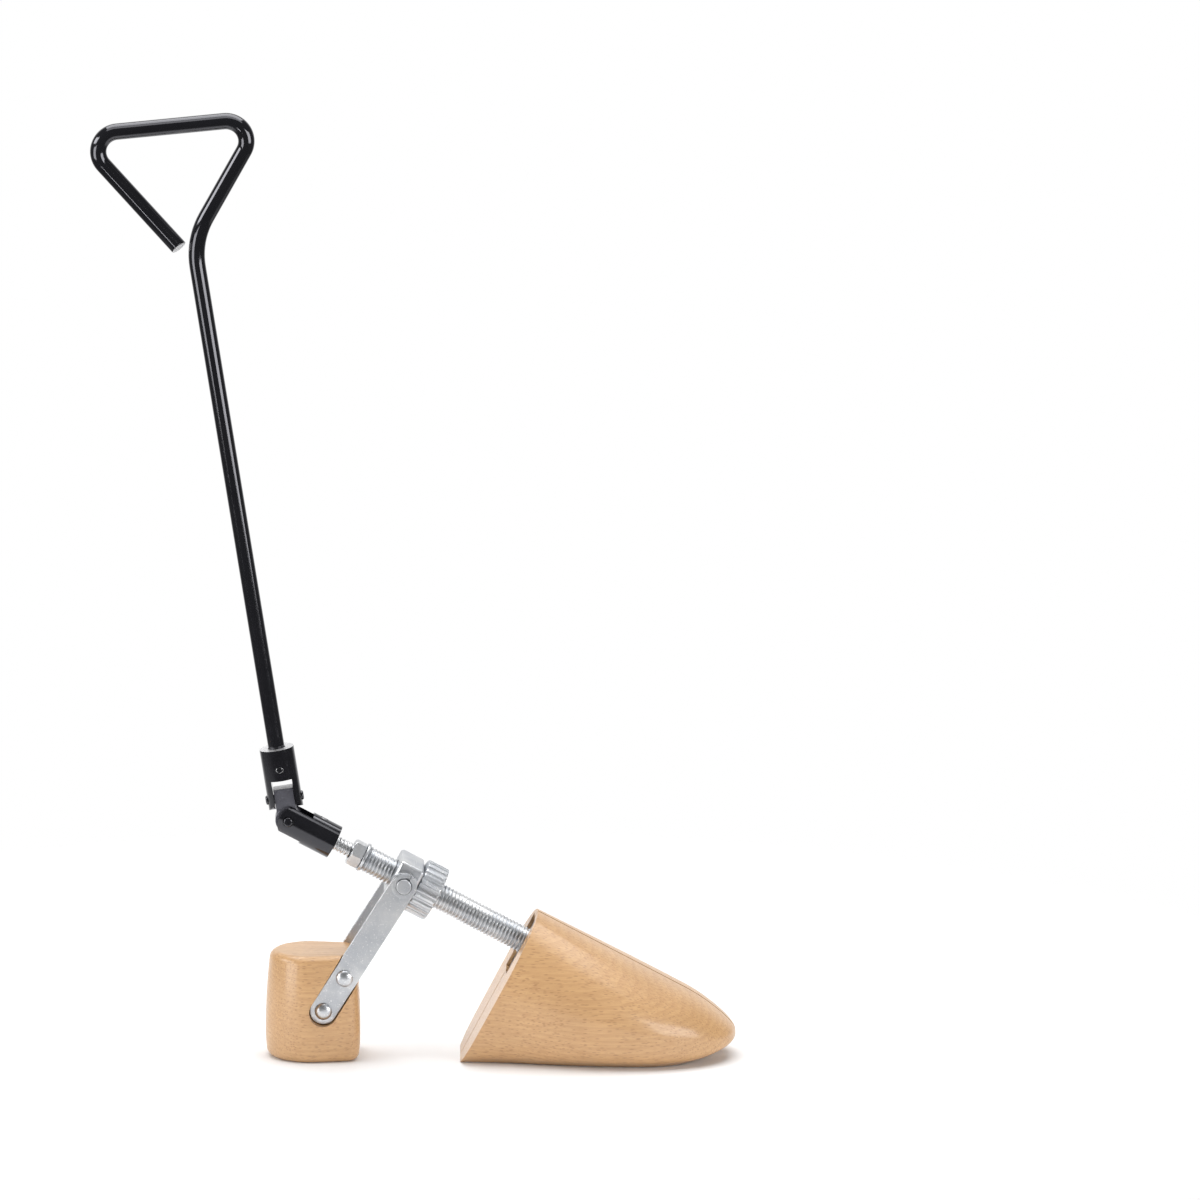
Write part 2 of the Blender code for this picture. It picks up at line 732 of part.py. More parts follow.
def heel_outline(scale):
    """The block seen from above: a half-round back, straight sides and two rounded front corners."""
    back = HEEL_WIDTH / 2 * scale
    front = HEEL_FRONT_REACH * scale
    half_front = HEEL_FRONT_WIDTH / 2 * scale
    corner = HEEL_CORNER_RADIUS
    outline = arc_points((0.0, 0.0), back, math.pi / 2, 3 * math.pi / 2, 16)
    outline += arc_points((front - corner, -half_front + corner), corner, -math.pi / 2, 0.0, 4)
    outline += arc_points((front - corner, half_front - corner), corner, 0.0, math.pi / 2, 4)
    return outline


def heel_swell(share):
    """How wide the block is at a share of its height: fullest low down, and drawn in above and below."""
    if share < HEEL_FULLEST:
        return 1.0 - HEEL_FOOT_DRAW * (1.0 - share / HEEL_FULLEST) ** 2
    return 1.0 - HEEL_TOP_DRAW * ((share - HEEL_FULLEST) / (1.0 - HEEL_FULLEST)) ** 2


def loft(rings):
    """Quads between rings with the same number of points, and a face on each end."""
    shape = bmesh.new()
    rows = [[shape.verts.new(point) for point in ring] for ring in rings]
    count = len(rows[0])
    for lower, upper in zip(rows, rows[1:]):
        for i in range(count):
            shape.faces.new((lower[i], lower[(i + 1) % count], upper[(i + 1) % count], upper[i]))
    shape.faces.new(reversed(rows[0]))
    shape.faces.new(rows[-1])
    bmesh.ops.recalc_face_normals(shape, faces=shape.faces)
    return shape


def make_heel_block():
    """A loft up the block, with both edges rounded over; the straps lie in a recess on each side."""
    foot = arc_points((HEEL_ROUNDING, HEEL_ROUNDING), HEEL_ROUNDING, math.pi, 3 * math.pi / 2, 3)
    top = [(HEEL_HEIGHT - height, inset) for height, inset in reversed(foot)]
    straight = HEEL_HEIGHT - 2 * HEEL_ROUNDING
    body = [(HEEL_ROUNDING + straight * share, 0.0) for share in (0.2, 0.4, 0.6, 0.8)]
    rings = []
    for height, inset in foot + body + top:
        scale = heel_swell(height / HEEL_HEIGHT) - 2 * inset / HEEL_WIDTH
        rings.append([(x, y, height) for x, y in heel_outline(scale)])
    lower_rivet = trunnion_spot.x + rivet_places["lower_heel_rivet"][0]
    centre = lower_rivet - HEEL_BEHIND_RIVET
    heel = add_piece(
        "heel_block", mesh_from("heel_block", loft(rings)), BEECH, None, (centre, 0, 0), ALONG_Z
    )
    recess_outline = stadium((0.0, 0.0), on_strap(strap_length), STRAP_WIDTH / 2 + RECESS_MARGIN)
    for name, side in (("left", 1), ("right", -1)):
        depth = HEEL_WIDTH
        place = (0, side * (CARRIAGE_WIDTH / 2 + depth / 2), 0)
        recess = outlined(name + "_strap_recess", recess_outline, depth, None, heel_line, place, UPRIGHT)
        combine(heel, recess)
    for hole in heel_holes:
        combine(heel, hole)


make_strap("left_heel_strap", 1)
make_strap("right_heel_strap", -1)
for rivet_name in rivet_places:
    make_heel_rivet(rivet_name)
make_heel_block()


# Spreader frame, its guide pins and its set screw

def make_frame():
    """A rear block and a front block joined by two rails, made in one piece."""
    rear_height = block_top + rear_block_bottom
    frame = box(
        "spreader_frame", (rear_block_thickness, REAR_BLOCK_WIDTH, rear_height), ZINC, spindle_line,
        (rear_guide_pin_place, 0, block_top - rear_height / 2),
    )
    front_block = box(
        "front_block", (front_block_thickness, FRONT_BLOCK_WIDTH, 2 * block_top), None, spindle_line,
        along_spindle(front_block_start, front_block_end),
    )
    combine(frame, front_block, "UNION")
    rail_start = rear_block_end - rear_block_thickness / 2
    rail_end = front_block_start + front_block_thickness / 2
    for name, side in (("top_rail", 1), ("bottom_rail", -1)):
        rail = box(
            name, (rail_end - rail_start, rail_width, RAIL_THICKNESS), None, spindle_line,
            ((rail_start + rail_end) / 2, 0, side * (rail_inside + RAIL_THICKNESS / 2)),
        )
        combine(frame, rail, "UNION")
    tube_seat = cylinder(
        "tube_seat", tube_diameter + 2 * FIT, 2 * rear_block_thickness, None, spindle_line,
        (rear_guide_pin_place, 0, 0), ALONG_X,
    )
    combine(frame, tube_seat)
    tip_bore = cylinder(
        "tip_bore", SPINDLE_DIAMETER + 2 * FIT, 2 * SPINDLE_TIP_SEAT, None, spindle_line,
        (front_block_start, 0, 0), ALONG_X,
    )
    combine(frame, tip_bore)
    hole_diameter = GUIDE_PIN_DIAMETER + 2 * FIT
    for name, place in guide_pin_places.items():
        hole = cylinder(name + "_hole", hole_diameter, BALL_WIDTH, None, spindle_line, place, ALONG_Y)
        combine(frame, hole)
    screw_hole = cylinder(
        "set_screw_hole", SET_SCREW_DIAMETER + 2 * FIT, block_top, None, spindle_line,
        (rear_guide_pin_place, 0, tube_diameter / 2 + block_top / 2 - FIT), ALONG_Z, COARSE_SIDES,
    )
    combine(frame, screw_hole)


guide_pin_places = {
    "rear_guide_pin": (rear_guide_pin_place, 0.0, -rear_guide_pin_drop),
    "front_guide_pin": (front_guide_pin_place, 0.0, 0.0),
}
guide_pin_lengths = {
    "rear_guide_pin": WAIST_WIDTH - 2 * REAR_PIN_COVER,
    "front_guide_pin": BALL_WIDTH - 2 * FRONT_PIN_COVER,
}


def make_guide_pins():
    for name, place in guide_pin_places.items():
        cylinder(
            name, GUIDE_PIN_DIAMETER, guide_pin_lengths[name], ZINC, spindle_line, place, ALONG_Y,
            COARSE_SIDES,
        )


def make_set_screw():
    low = tube_diameter / 2 + FIT
    high = block_top - FIT
    cylinder(
        "tube_set_screw", SET_SCREW_DIAMETER, high - low, DARK_STEEL, spindle_line,
        (rear_guide_pin_place, 0, (low + high) / 2), ALONG_Z, COARSE_SIDES,
    )


make_frame()
make_guide_pins()
make_set_screw()


# Wedge, wear plates, studs and screws

wedge_half_back = wedge_narrow_width / 2
wedge_half_front = wedge_half_back + slope_ratio * WEDGE_LENGTH
plate_lines = {}
for side_name, side in (("left", 1), ("right", -1)):
    plate_lines[side_name] = guide(
        side_name + "_plate_line", spindle_line, (plate_middle, side * plate_inside, 0.0),
        (0.0, 0.0, side * WEDGE_ANGLE),
    )


def outward(side):
    """Lays a turned piece's own Z square to a wear plate, away from the middle."""
    return (-side * math.pi / 2, 0.0, 0.0)


def make_wedge():
    half_length = WEDGE_LENGTH / 2
    outline = [
        (-half_length, -wedge_half_back),
        (half_length, -wedge_half_front),
        (half_length, wedge_half_front),
        (-half_length, wedge_half_back),
    ]
    place = along_spindle(wedge_start, wedge_end)
    wedge = outlined("wedge", outline, WEDGE_HEIGHT, DARK_STEEL, spindle_line, place)
    bore = cylinder(
        "wedge_bore", SPINDLE_DIAMETER + 2 * FIT, 2 * WEDGE_LENGTH, None, spindle_line, place, ALONG_X
    )
    combine(wedge, bore)
    for side_name, side in (("left", 1), ("right", -1)):
        depth = STUD_ROOT + 2 * FIT
        hole = cylinder(
            side_name + "_stud_hole", STUD_NECK_DIAMETER + 2 * FIT, 2 * depth, None,
            plate_lines[side_name], (stud_place, 0, 0), ALONG_Y, COARSE_SIDES,
        )
        combine(wedge, hole)


def make_wedge_stud(side_name, side):
    """A headed stud in the wedge: its neck runs in the plate's slot and its head pulls the plate back."""
    neck = STUD_NECK_DIAMETER / 2
    head = STUD_HEAD_DIAMETER / 2
    seat = PLATE_THICKNESS + FIT
    profile = [
        (0.0, seat + STUD_HEAD_HEIGHT),
        (head, seat + STUD_HEAD_HEIGHT),
        (head, seat),
        (neck, seat),
        (neck, -STUD_ROOT),
        (0.0, -STUD_ROOT),
    ]
    turned(
        side_name + "_wedge_stud", profile, DARK_STEEL, plate_lines[side_name], (stud_place, 0, 0),
        outward(side), COARSE_SIDES,
    )


def screw_profile(margin):
    """A countersunk wood screw, or its hole where the margin isn't zero."""
    shank = PLATE_SCREW_DIAMETER / 2 + margin
    head = PLATE_SCREW_HEAD / 2 + margin
    head_depth = head - shank
    top = -FIT + 2 * margin
    return [
        (0.0, top),
        (head, top),
        (head, -FIT),
        (shank, -FIT - head_depth),
        (shank, -PLATE_SCREW_LENGTH + PLATE_SCREW_POINT - margin),
        (0.0, -PLATE_SCREW_LENGTH - margin),
    ]


def make_plate(side_name, side):
    """A hardened plate with a slot for the stud's neck, its screw holes and its two screws."""
    line = plate_lines[side_name]
    plate = box(
        side_name + "_wear_plate", (plate_length, PLATE_THICKNESS, plate_height), DARK_STEEL, line,
        (plate_centre, side * PLATE_THICKNESS / 2, 0),
    )
    slot_outline = stadium(
        (stud_place - stud_slide - FIT, 0.0), (stud_place + FIT, 0.0), STUD_NECK_DIAMETER / 2 + FIT, 6
    )
    slot = outlined(
        side_name + "_plate_slot", slot_outline, 4 * PLATE_THICKNESS, None, line, (0, 0, 0), UPRIGHT
    )
    combine(plate, slot)
    holes = []
    for name, height in (("upper", plate_screw_spacing / 2), ("lower", -plate_screw_spacing / 2)):
        label = side_name + "_" + name + "_plate_screw"
        place = (plate_centre, 0, height)
        inward = outward(-side)
        turned(label, screw_profile(0.0), ZINC, line, place, inward, COARSE_SIDES)
        hole = turned(label + "_hole", screw_profile(FIT), None, line, place, inward, COARSE_SIDES)
        combine(plate, hole)
        holes.append(hole)
    return holes


make_wedge()
plate_screw_holes = {}
for side_name, side in (("left", 1), ("right", -1)):
    make_wedge_stud(side_name, side)
    plate_screw_holes[side_name] = make_plate(side_name, side)


# Guide bushes

bush_starts = {
    "rear": REAR_BLOCK_WIDTH / 2 + 3 * FIT,
    "front": FRONT_BLOCK_WIDTH / 2 + 3 * FIT,
}


def make_bush(side_name, side, end):
    profile = ring_profile(bush_diameter, GUIDE_PIN_DIAMETER + 2 * FIT, BUSH_LENGTH / 2, -BUSH_LENGTH / 2)
    x, _, z = guide_pin_places[end + "_guide_pin"]
    y = side * (bush_starts[end] + BUSH_LENGTH / 2)
    turned(
        side_name + "_" + end + "_guide_bush", profile, BRASS, spindle_line, (x, y, z), ALONG_Y,
        COARSE_SIDES, ring=True,
    )


for side_name, side in (("left", 1), ("right", -1)):
    make_bush(side_name, side, "rear")
    make_bush(side_name, side, "front")


# Wooden toe

slope_cos = math.cos(SPINDLE_SLOPE)
slope_sin = math.sin(SPINDLE_SLOPE)


def spindle_point(along, above):
    """World X and Z of a point given along the spindle's line and square above it."""
    return (
        along * slope_cos + above * slope_sin,
        joint_height - along * slope_sin + above * slope_cos,
    )


face_x, face_z = spindle_point(toe_face, 0.0)
crown_x, crown_z = spindle_point(toe_face, block_top + TOP_COVER)
frame_front_x = spindle_point(front_block_end, 0.0)[0]
rear_bottom_x = face_x - face_z * math.tan(SPINDLE_SLOPE)
tip_x = frame_front_x + TOE_BEYOND_FRAME
ball_x = tip_x - BALL_TO_TIP


def rounding_off(share, power):
    """From 1 down to 0 along a quarter of a squarish ellipse."""
    return (1 - share**power) ** (1 / power)


def toe_half_width(x):
    if x < ball_x:
        share = (ball_x - x) / (ball_x - rear_bottom_x)
        return BALL_WIDTH / 2 - (BALL_WIDTH - WAIST_WIDTH) / 4 * (1 - math.cos(math.pi * min(share, 1.0)))
    return BALL_WIDTH / 2 * rounding_off((x - ball_x) / BALL_TO_TIP, TOE_PLAN_POWER)


def toe_heights(x):
    """The bottom and the crown of the last at a station: the crown runs beside the spindle."""
    crown = crown_z - (x - crown_x) * math.tan(SPINDLE_SLOPE)
    spring_share = max(0.0, (x - tip_x + TOE_SPRING_LENGTH) / TOE_SPRING_LENGTH)
    bottom = TOE_SPRING * spring_share**2
    nose_share = (x - tip_x + NOSE_LENGTH) / NOSE_LENGTH
    if nose_share > 0:
        fullness = rounding_off(nose_share, TOE_NOSE_POWER)
        crown = NOSE_HEIGHT + (crown - NOSE_HEIGHT) * fullness
        bottom = NOSE_HEIGHT + (bottom - NOSE_HEIGHT) * fullness
    return bottom, crown


def toe_section(x, side, steps=12):
    """Half a cross-section, from the sole's middle round the outside to the crown."""
    half_width = toe_half_width(x)
    bottom, crown = toe_heights(x)
    widest = bottom + TOE_WIDEST * (crown - bottom)
    points = []
    for i in range(steps + 1):
        angle = -math.pi / 2 + math.pi * i / steps
        power = 2 / (TOE_UPPER_POWER if angle > 0 else TOE_SOLE_POWER)
        reach = crown - widest if angle > 0 else bottom - widest
        height = widest + reach * abs(math.sin(angle)) ** power
        y = max(half_width * abs(math.cos(angle)) ** power, SPLIT_GAP / 2)
        if i in (0, steps):
            y = SPLIT_GAP / 2
        height = 0.0 if height < SOLE_FLAT else height
        points.append((x, side * y, height))
    return points


def toe_stations():
    """Even steps to the ball, then closer and closer to the tip."""
    start = rear_bottom_x - REAR_OVERRUN
    stations = [start + (ball_x - start) * i / 6 for i in range(6)]
    for i in range(13):
        angle = math.pi / 2 * i / 12.5
        stations.append(ball_x + BALL_TO_TIP * math.sin(angle))
    return stations


def make_toe_half(name, side):
    shape = loft([toe_section(x, side) for x in toe_stations()])
    rear_normal = Vector((-slope_cos, 0.0, slope_sin))
    whole = shape.verts[:] + shape.edges[:] + shape.faces[:]
    bmesh.ops.bisect_plane(
        shape, geom=whole, dist=0.0000001, plane_co=(face_x, 0.0, face_z), plane_no=rear_normal,
        clear_outer=True,
    )
    rim = [edge for edge in shape.edges if edge.is_boundary]
    bmesh.ops.holes_fill(shape, edges=rim, sides=0)
    bmesh.ops.recalc_face_normals(shape, faces=shape.faces)
    bmesh.ops.translate(shape, verts=shape.verts, vec=(-face_x, 0.0, 0.0))
    return add_piece(name, mesh_from(name, shape), BEECH, None, (face_x, 0, 0), ALONG_Z)


def make_toe_cutters():
    """The pocket for the frame, the wedge and the plates, and the bores for the guide bushes."""
    rear_start = toe_face - rear_block_thickness
    rear_end = rear_block_end + FIT
    low = rear_block_bottom + FIT
    high = block_top + 2 * FIT
    rear_pocket = box(
        "rear_pocket", (rear_end - rear_start, REAR_BLOCK_WIDTH + 2 * FIT, low + high), None, spindle_line,
        ((rear_start + rear_end) / 2, 0, (high - low) / 2),
    )
    spine_end = front_block_end + FIT
    spine_size = (spine_end - rear_block_start, FRONT_BLOCK_WIDTH + 2 * FIT, 2 * (block_top + FIT))
    spine_pocket = box(
        "spine_pocket", spine_size, None, spindle_line, along_spindle(rear_block_start, spine_end)
    )
    half_reach = plate_length / 2 + FIT
    front = (plate_centre + half_reach) * math.cos(WEDGE_ANGLE)
    rear = (plate_centre - half_reach) * math.cos(WEDGE_ANGLE) - PLATE_THICKNESS * math.sin(WEDGE_ANGLE)
    back = plate_inside + (PLATE_THICKNESS + FIT) / math.cos(WEDGE_ANGLE)
    half_front = back + slope_ratio * front
    half_rear = back + slope_ratio * rear
    outline = [(rear, -half_rear), (front, -half_front), (front, half_front), (rear, half_rear)]
    plate_pocket = outlined(
        "plate_pocket", outline, plate_height + 2 * FIT, None, spindle_line, (plate_middle, 0, 0)
    )
    cutters = [rear_pocket, spine_pocket, plate_pocket]
    for end in ("rear", "front"):
        name = end + "_guide_pin"
        bush_end = bush_starts[end] + BUSH_LENGTH + FIT
        bush_bore = cylinder(
            end + "_bush_bore", bush_diameter + 2 * FIT, 2 * bush_end, None, spindle_line,
            guide_pin_places[name], ALONG_Y, COARSE_SIDES,
        )
        pin_bore = cylinder(
            end + "_pin_bore", GUIDE_PIN_DIAMETER + 4 * FIT,
            guide_pin_lengths[name] + 2 * GUIDE_PIN_END_ROOM, None, spindle_line,
            guide_pin_places[name], ALONG_Y, COARSE_SIDES,
        )
        cutters += [bush_bore, pin_bore]
    return cutters


def make_stud_groove(side_name, side):
    """The groove behind a wear plate that the stud's head runs in."""
    depth = STUD_HEAD_HEIGHT + 3 * FIT
    middle = PLATE_THICKNESS + depth / 2 - FIT
    length = stud_slide + STUD_HEAD_DIAMETER + 4 * FIT
    return box(
        side_name + "_stud_groove", (length, depth + 2 * FIT, STUD_HEAD_DIAMETER + 2 * FIT), None,
        plate_lines[side_name], (stud_place - stud_slide / 2, side * middle, 0),
    )


toe_cutters = make_toe_cutters()
for side_name, side in (("left", 1), ("right", -1)):
    toe_half = make_toe_half(side_name + "_toe_half", side)
    for cutter in toe_cutters + [make_stud_groove(side_name, side)] + plate_screw_holes[side_name]:
        combine(toe_half, cutter)
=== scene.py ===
"""Looks of a two-way boot stretcher with a black crank handle, a zinc-plated mechanism and beech blocks.

Metres, in the frame's own coordinates: +X towards the toe, +Y to the left of someone who faces the toe,
+Z up.
"""

import json
import math

import bmesh
import bpy
from mathutils import Matrix, Vector


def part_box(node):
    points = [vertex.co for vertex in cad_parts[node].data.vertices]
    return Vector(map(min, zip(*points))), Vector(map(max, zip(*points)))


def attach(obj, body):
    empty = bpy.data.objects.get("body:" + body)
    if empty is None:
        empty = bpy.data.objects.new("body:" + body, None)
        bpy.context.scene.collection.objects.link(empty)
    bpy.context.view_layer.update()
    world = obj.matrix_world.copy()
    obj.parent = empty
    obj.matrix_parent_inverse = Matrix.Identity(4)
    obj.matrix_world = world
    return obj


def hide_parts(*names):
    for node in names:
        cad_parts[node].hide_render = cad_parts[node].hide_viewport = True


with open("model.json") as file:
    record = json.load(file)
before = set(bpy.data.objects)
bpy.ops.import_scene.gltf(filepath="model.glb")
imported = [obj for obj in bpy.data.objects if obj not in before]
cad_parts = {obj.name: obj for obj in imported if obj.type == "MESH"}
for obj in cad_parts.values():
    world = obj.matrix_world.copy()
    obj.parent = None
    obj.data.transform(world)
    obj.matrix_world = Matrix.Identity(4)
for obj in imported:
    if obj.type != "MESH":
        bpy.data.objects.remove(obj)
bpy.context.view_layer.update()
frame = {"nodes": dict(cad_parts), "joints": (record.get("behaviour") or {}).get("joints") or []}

bpy.ops.object.select_all(action="DESELECT")


# Handle
# One steel bar, bent cold into a three-sided grip whose end stops just short of the neck, and dipped in black
# stoving paint, which is smooth, glossy and a little rippled. The end was cropped aslant after painting, so
# its face shows bright steel.

def add_node(tree, kind, sockets=None, **settings):
    """A shader node; each socket named gets a value, or a link from another node's output."""
    node = tree.nodes.new(kind)
    for setting, value in settings.items():
        setattr(node, setting, value)
    for socket, value in (sockets or {}).items():
        if isinstance(value, bpy.types.NodeSocket):
            tree.links.new(value, node.inputs[socket])
        else:
            node.inputs[socket].default_value = value
    return node


def mask(tree, source, low, high, start=0.0, end=1.0):
    """A value that goes from start to end while its source goes from low to high."""
    sockets = {"Value": source, "From Min": low, "From Max": high, "To Min": start, "To Max": end}
    return add_node(tree, "ShaderNodeMapRange", sockets).outputs["Result"]


def blended(tree, share, *colours):
    """A colour between two others; each may be a colour or another node's output."""
    first, second = (
        colour if isinstance(colour, bpy.types.NodeSocket) else (*colour, 1.0) for colour in colours
    )
    mix = add_node(tree, "ShaderNodeMix", {"Factor": share, 6: first, 7: second}, data_type="RGBA")
    return mix.outputs[2]


def reckoned(tree, operation, *terms):
    """The result of a sum on values or other nodes' outputs."""
    return add_node(tree, "ShaderNodeMath", dict(enumerate(terms)), operation=operation).outputs[0]


def stretched(tree, place, scale, **more):
    """A place scaled along its axes, and turned or shifted where that is asked."""
    return add_node(tree, "ShaderNodeMapping", {"Vector": place, "Scale": scale, **more}).outputs["Vector"]


def noise(tree, place, scale, detail, roughness):
    """The outputs of a noise at a place."""
    sockets = {"Vector": place, "Scale": scale, "Detail": detail, "Roughness": roughness}
    return add_node(tree, "ShaderNodeTexNoise", sockets).outputs


def new_group(name, inputs, outputs):
    """An empty shader node group with named float or vector inputs and outputs."""
    group = bpy.data.node_groups.new(name, "ShaderNodeTree")
    for label, kind, default in inputs:
        socket = group.interface.new_socket(label, in_out="INPUT", socket_type="NodeSocket" + kind)
        if default is not None:
            socket.default_value = default
    for label, kind in outputs:
        group.interface.new_socket(label, in_out="OUTPUT", socket_type="NodeSocket" + kind)
    return group, group.nodes.new("NodeGroupInput"), group.nodes.new("NodeGroupOutput")


def make_rub_marks():
    """Fine scratches in all directions and soft blotches, as handling leaves them on metal and paint."""
    group, given, result = new_group(
        "rub_marks",
        [("Vector", "Vector", None), ("Fineness", "Float", 900.0)],
        [("Scratches", "Float"), ("Blotches", "Float")],
    )
    place = given.outputs["Vector"]
    threads = []
    for turn in (0.4, 1.5, 2.6):
        drawn = stretched(group, place, (1.0, 0.03, 1.0), Rotation=(turn, 0.7 * turn, turn))
        lines = noise(group, drawn, given.outputs["Fineness"], 2.0, 0.6)
        threads.append(mask(group, lines["Fac"], 0.64, 0.72))
    crossed = reckoned(group, "MAXIMUM", threads[0], threads[1])
    blotches = noise(group, place, 45.0, 4.0, 0.6)
    group.links.new(reckoned(group, "MAXIMUM", crossed, threads[2]), result.inputs["Scratches"])
    group.links.new(mask(group, blotches["Fac"], 0.35, 0.68), result.inputs["Blotches"])
    return group


RUB_MARKS = make_rub_marks()


def start_material(name, **sockets):
    """A Principled material with its fixed socket values, its coordinates and the rub marks in place."""
    material = bpy.data.materials.new(name)
    material.use_nodes = True
    tree = material.node_tree
    shader = tree.nodes["Principled BSDF"]
    for socket, value in sockets.items():
        shader.inputs[socket.replace("_", " ")].default_value = value
    place = add_node(tree, "ShaderNodeTexCoord").outputs["Object"]
    marks = add_node(tree, "ShaderNodeGroup", {"Vector": place}, node_tree=RUB_MARKS).outputs
    return material, tree, shader, place, marks


def dress(tree, shader, colour, roughness, relief, depth):
    """Links a material's colour, its roughness, and a relief with its real depth in metres."""
    bump = add_node(tree, "ShaderNodeBump", {"Strength": 1.0, "Distance": depth, "Height": relief})
    tree.links.new(colour, shader.inputs["Base Color"])
    tree.links.new(roughness, shader.inputs["Roughness"])
    tree.links.new(bump.outputs["Normal"], shader.inputs["Normal"])


PAINT_DEEP = (0.0045, 0.0045, 0.0062)
PAINT_DUSTY = (0.0095, 0.0096, 0.0115)
PAINT_SHINE = (0.93, 0.93, 1.0, 1.0)
PAINT_RIPPLE = 0.000004
BARE_STEEL = (0.66, 0.66, 0.68)


def make_black_paint(name, worn):
    """Gloss black; where worn is more than nothing, that share of the surface shows bare steel."""
    material, tree, shader, place, marks = start_material(
        name, Specular_IOR_Level=0.8, Specular_Tint=PAINT_SHINE
    )
    dusty = mask(tree, marks["Blotches"], 0.0, 1.0, 0.0, 0.5)
    paint = blended(tree, dusty, PAINT_DEEP, PAINT_DUSTY)
    gloss = mask(tree, marks["Blotches"], 0.0, 1.0, 0.07, 0.11)
    rubbed = reckoned(tree, "MULTIPLY_ADD", marks["Scratches"], 0.06, gloss)
    if worn:
        chips = noise(tree, place, 650.0, 5.0, 0.7)
        bare = mask(tree, chips["Fac"], 0.66 - 0.3 * worn, 0.72 - 0.3 * worn)
        paint = blended(tree, bare, paint, BARE_STEEL)
        tree.links.new(bare, shader.inputs["Metallic"])
    ripple = noise(tree, place, 120.0, 1.0, 0.4)
    dress(tree, shader, paint, rubbed, ripple["Fac"], PAINT_RIPPLE)
    return material


BLACK_PAINT = make_black_paint("black_paint", 0.0)
WORN_PAINT = make_black_paint("black_paint_worn", 0.62)


BAR_DIAMETER = 0.0087
BAR_FOOT = 0.013
NECK_HEIGHT = 0.3045
NECK_RADIUS = 0.042
ARM_LENGTH = 0.0755
ARM_TURN = math.radians(38.0)
TOP_LENGTH = 0.0983
TOP_TILT = math.radians(3.3)
CORNER_RADIUS = 0.0108
END_GAP = 0.0036
END_DROP = 0.0029
END_SLANT = math.radians(22.0)
END_SPARE = 0.002
END_CHAMFER = 0.0005
BEND_STEP = math.radians(4.5)
BEND_LEAST_STEPS = 10
CROSS_PIN_DIAMETER = 0.0036
SLEEVE_PIN_PLACE = 0.017
RUNNING_GAP = 0.0003
OVERRUN = 0.01
NEAR = 0.03
FAR = 0.05
JOINT_ENDS = (-NEAR, NEAR)
TOUCH = 0.00001
SMOOTH_BELOW = math.radians(33.0)

joints = {joint["name"]: joint for joint in frame["joints"]}
lower_pin = Vector(joints["link_swing"]["pos_m"])
upper_pin = Vector(joints["handle_swing"]["pos_m"])
handle_way = (upper_pin - lower_pin).normalized()
left_way = Vector((0.0, 1.0, 0.0))


def standing_at(origin, way_x, way_z):
    """A place whose own X and Z lie along two directions of the frame."""
    way_y = way_z.cross(way_x)
    turn = Matrix((way_x, way_y, way_z)).transposed()
    return Matrix.Translation(origin) @ turn.to_4x4()


handle_place = standing_at(upper_pin, left_way.cross(handle_way), handle_way)


def make_active(piece):
    bpy.ops.object.select_all(action="DESELECT")
    piece.select_set(True)
    bpy.context.view_layer.objects.active = piece


def name_new(name):
    """Names the primitive that was just added."""
    piece = bpy.context.object
    piece.name = name
    piece.data.name = name
    return piece


def edit(piece):
    make_active(piece)
    bpy.ops.object.mode_set(mode="EDIT")


def leave_edit():
    bpy.ops.object.mode_set(mode="OBJECT")


def pick_all():
    bpy.ops.mesh.select_all(action="SELECT")


def saw(place, kept_way):
    """Saws what is selected along a plane, keeps the side that lies kept_way, and closes it."""
    bpy.ops.mesh.bisect(plane_co=place, plane_no=kept_way, use_fill=True, clear_inner=True)


def settle():
    """Applies the active piece's place, turn and size to its mesh."""
    bpy.ops.object.transform_apply(location=True, rotation=True, scale=True)


def set_in(piece, place):
    """Moves a piece from a place's own axes to those of the frame."""
    make_active(piece)
    piece.matrix_world = place
    settle()
    return piece


def pick(piece, kind, wanted):
    """In edit mode, selects only the verts, edges or faces that wanted() accepts, and counts them."""
    bpy.ops.mesh.select_mode(type={"verts": "VERT", "edges": "EDGE", "faces": "FACE"}[kind])
    bpy.ops.mesh.select_all(action="DESELECT")
    shape = bmesh.from_edit_mesh(piece.data)
    chosen = [element for element in getattr(shape, kind) if wanted(element)]
    for element in chosen:
        element.select_set(True)
    bmesh.update_edit_mesh(piece.data)
    return len(chosen)


def middle(edge):
    return (edge.verts[0].co + edge.verts[1].co) / 2


def runs_along(edge, axis):
    """True where an edge's two ends differ along an axis, which is 0, 1 or 2."""
    return abs(edge.verts[0].co[axis] - edge.verts[1].co[axis]) > TOUCH


def lay(piece, place, body, slot, *nodes):
    """Applies a piece's place, smooths it, and hands it to the frame in place of its CAD nodes."""
    set_in(piece, place)
    bpy.ops.object.shade_smooth_by_angle(angle=SMOOTH_BELOW)
    shading = piece.modifiers.new("even_shading", "WEIGHTED_NORMAL")
    shading.keep_sharp = True
    bpy.ops.object.modifier_apply(modifier=shading.name)
    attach(piece, body)
    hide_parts(*nodes)
    return piece


def cut(piece, tool, operation="DIFFERENCE"):
    """Cuts a piece with another, which is used up."""
    make_active(piece)
    change = piece.modifiers.new("cut", "BOOLEAN")
    change.operation = operation
    change.solver = "EXACT"
    change.material_mode = "TRANSFER"
    change.object = tool
    bpy.ops.object.modifier_apply(modifier=change.name)
    bpy.data.objects.remove(tool, do_unlink=True)


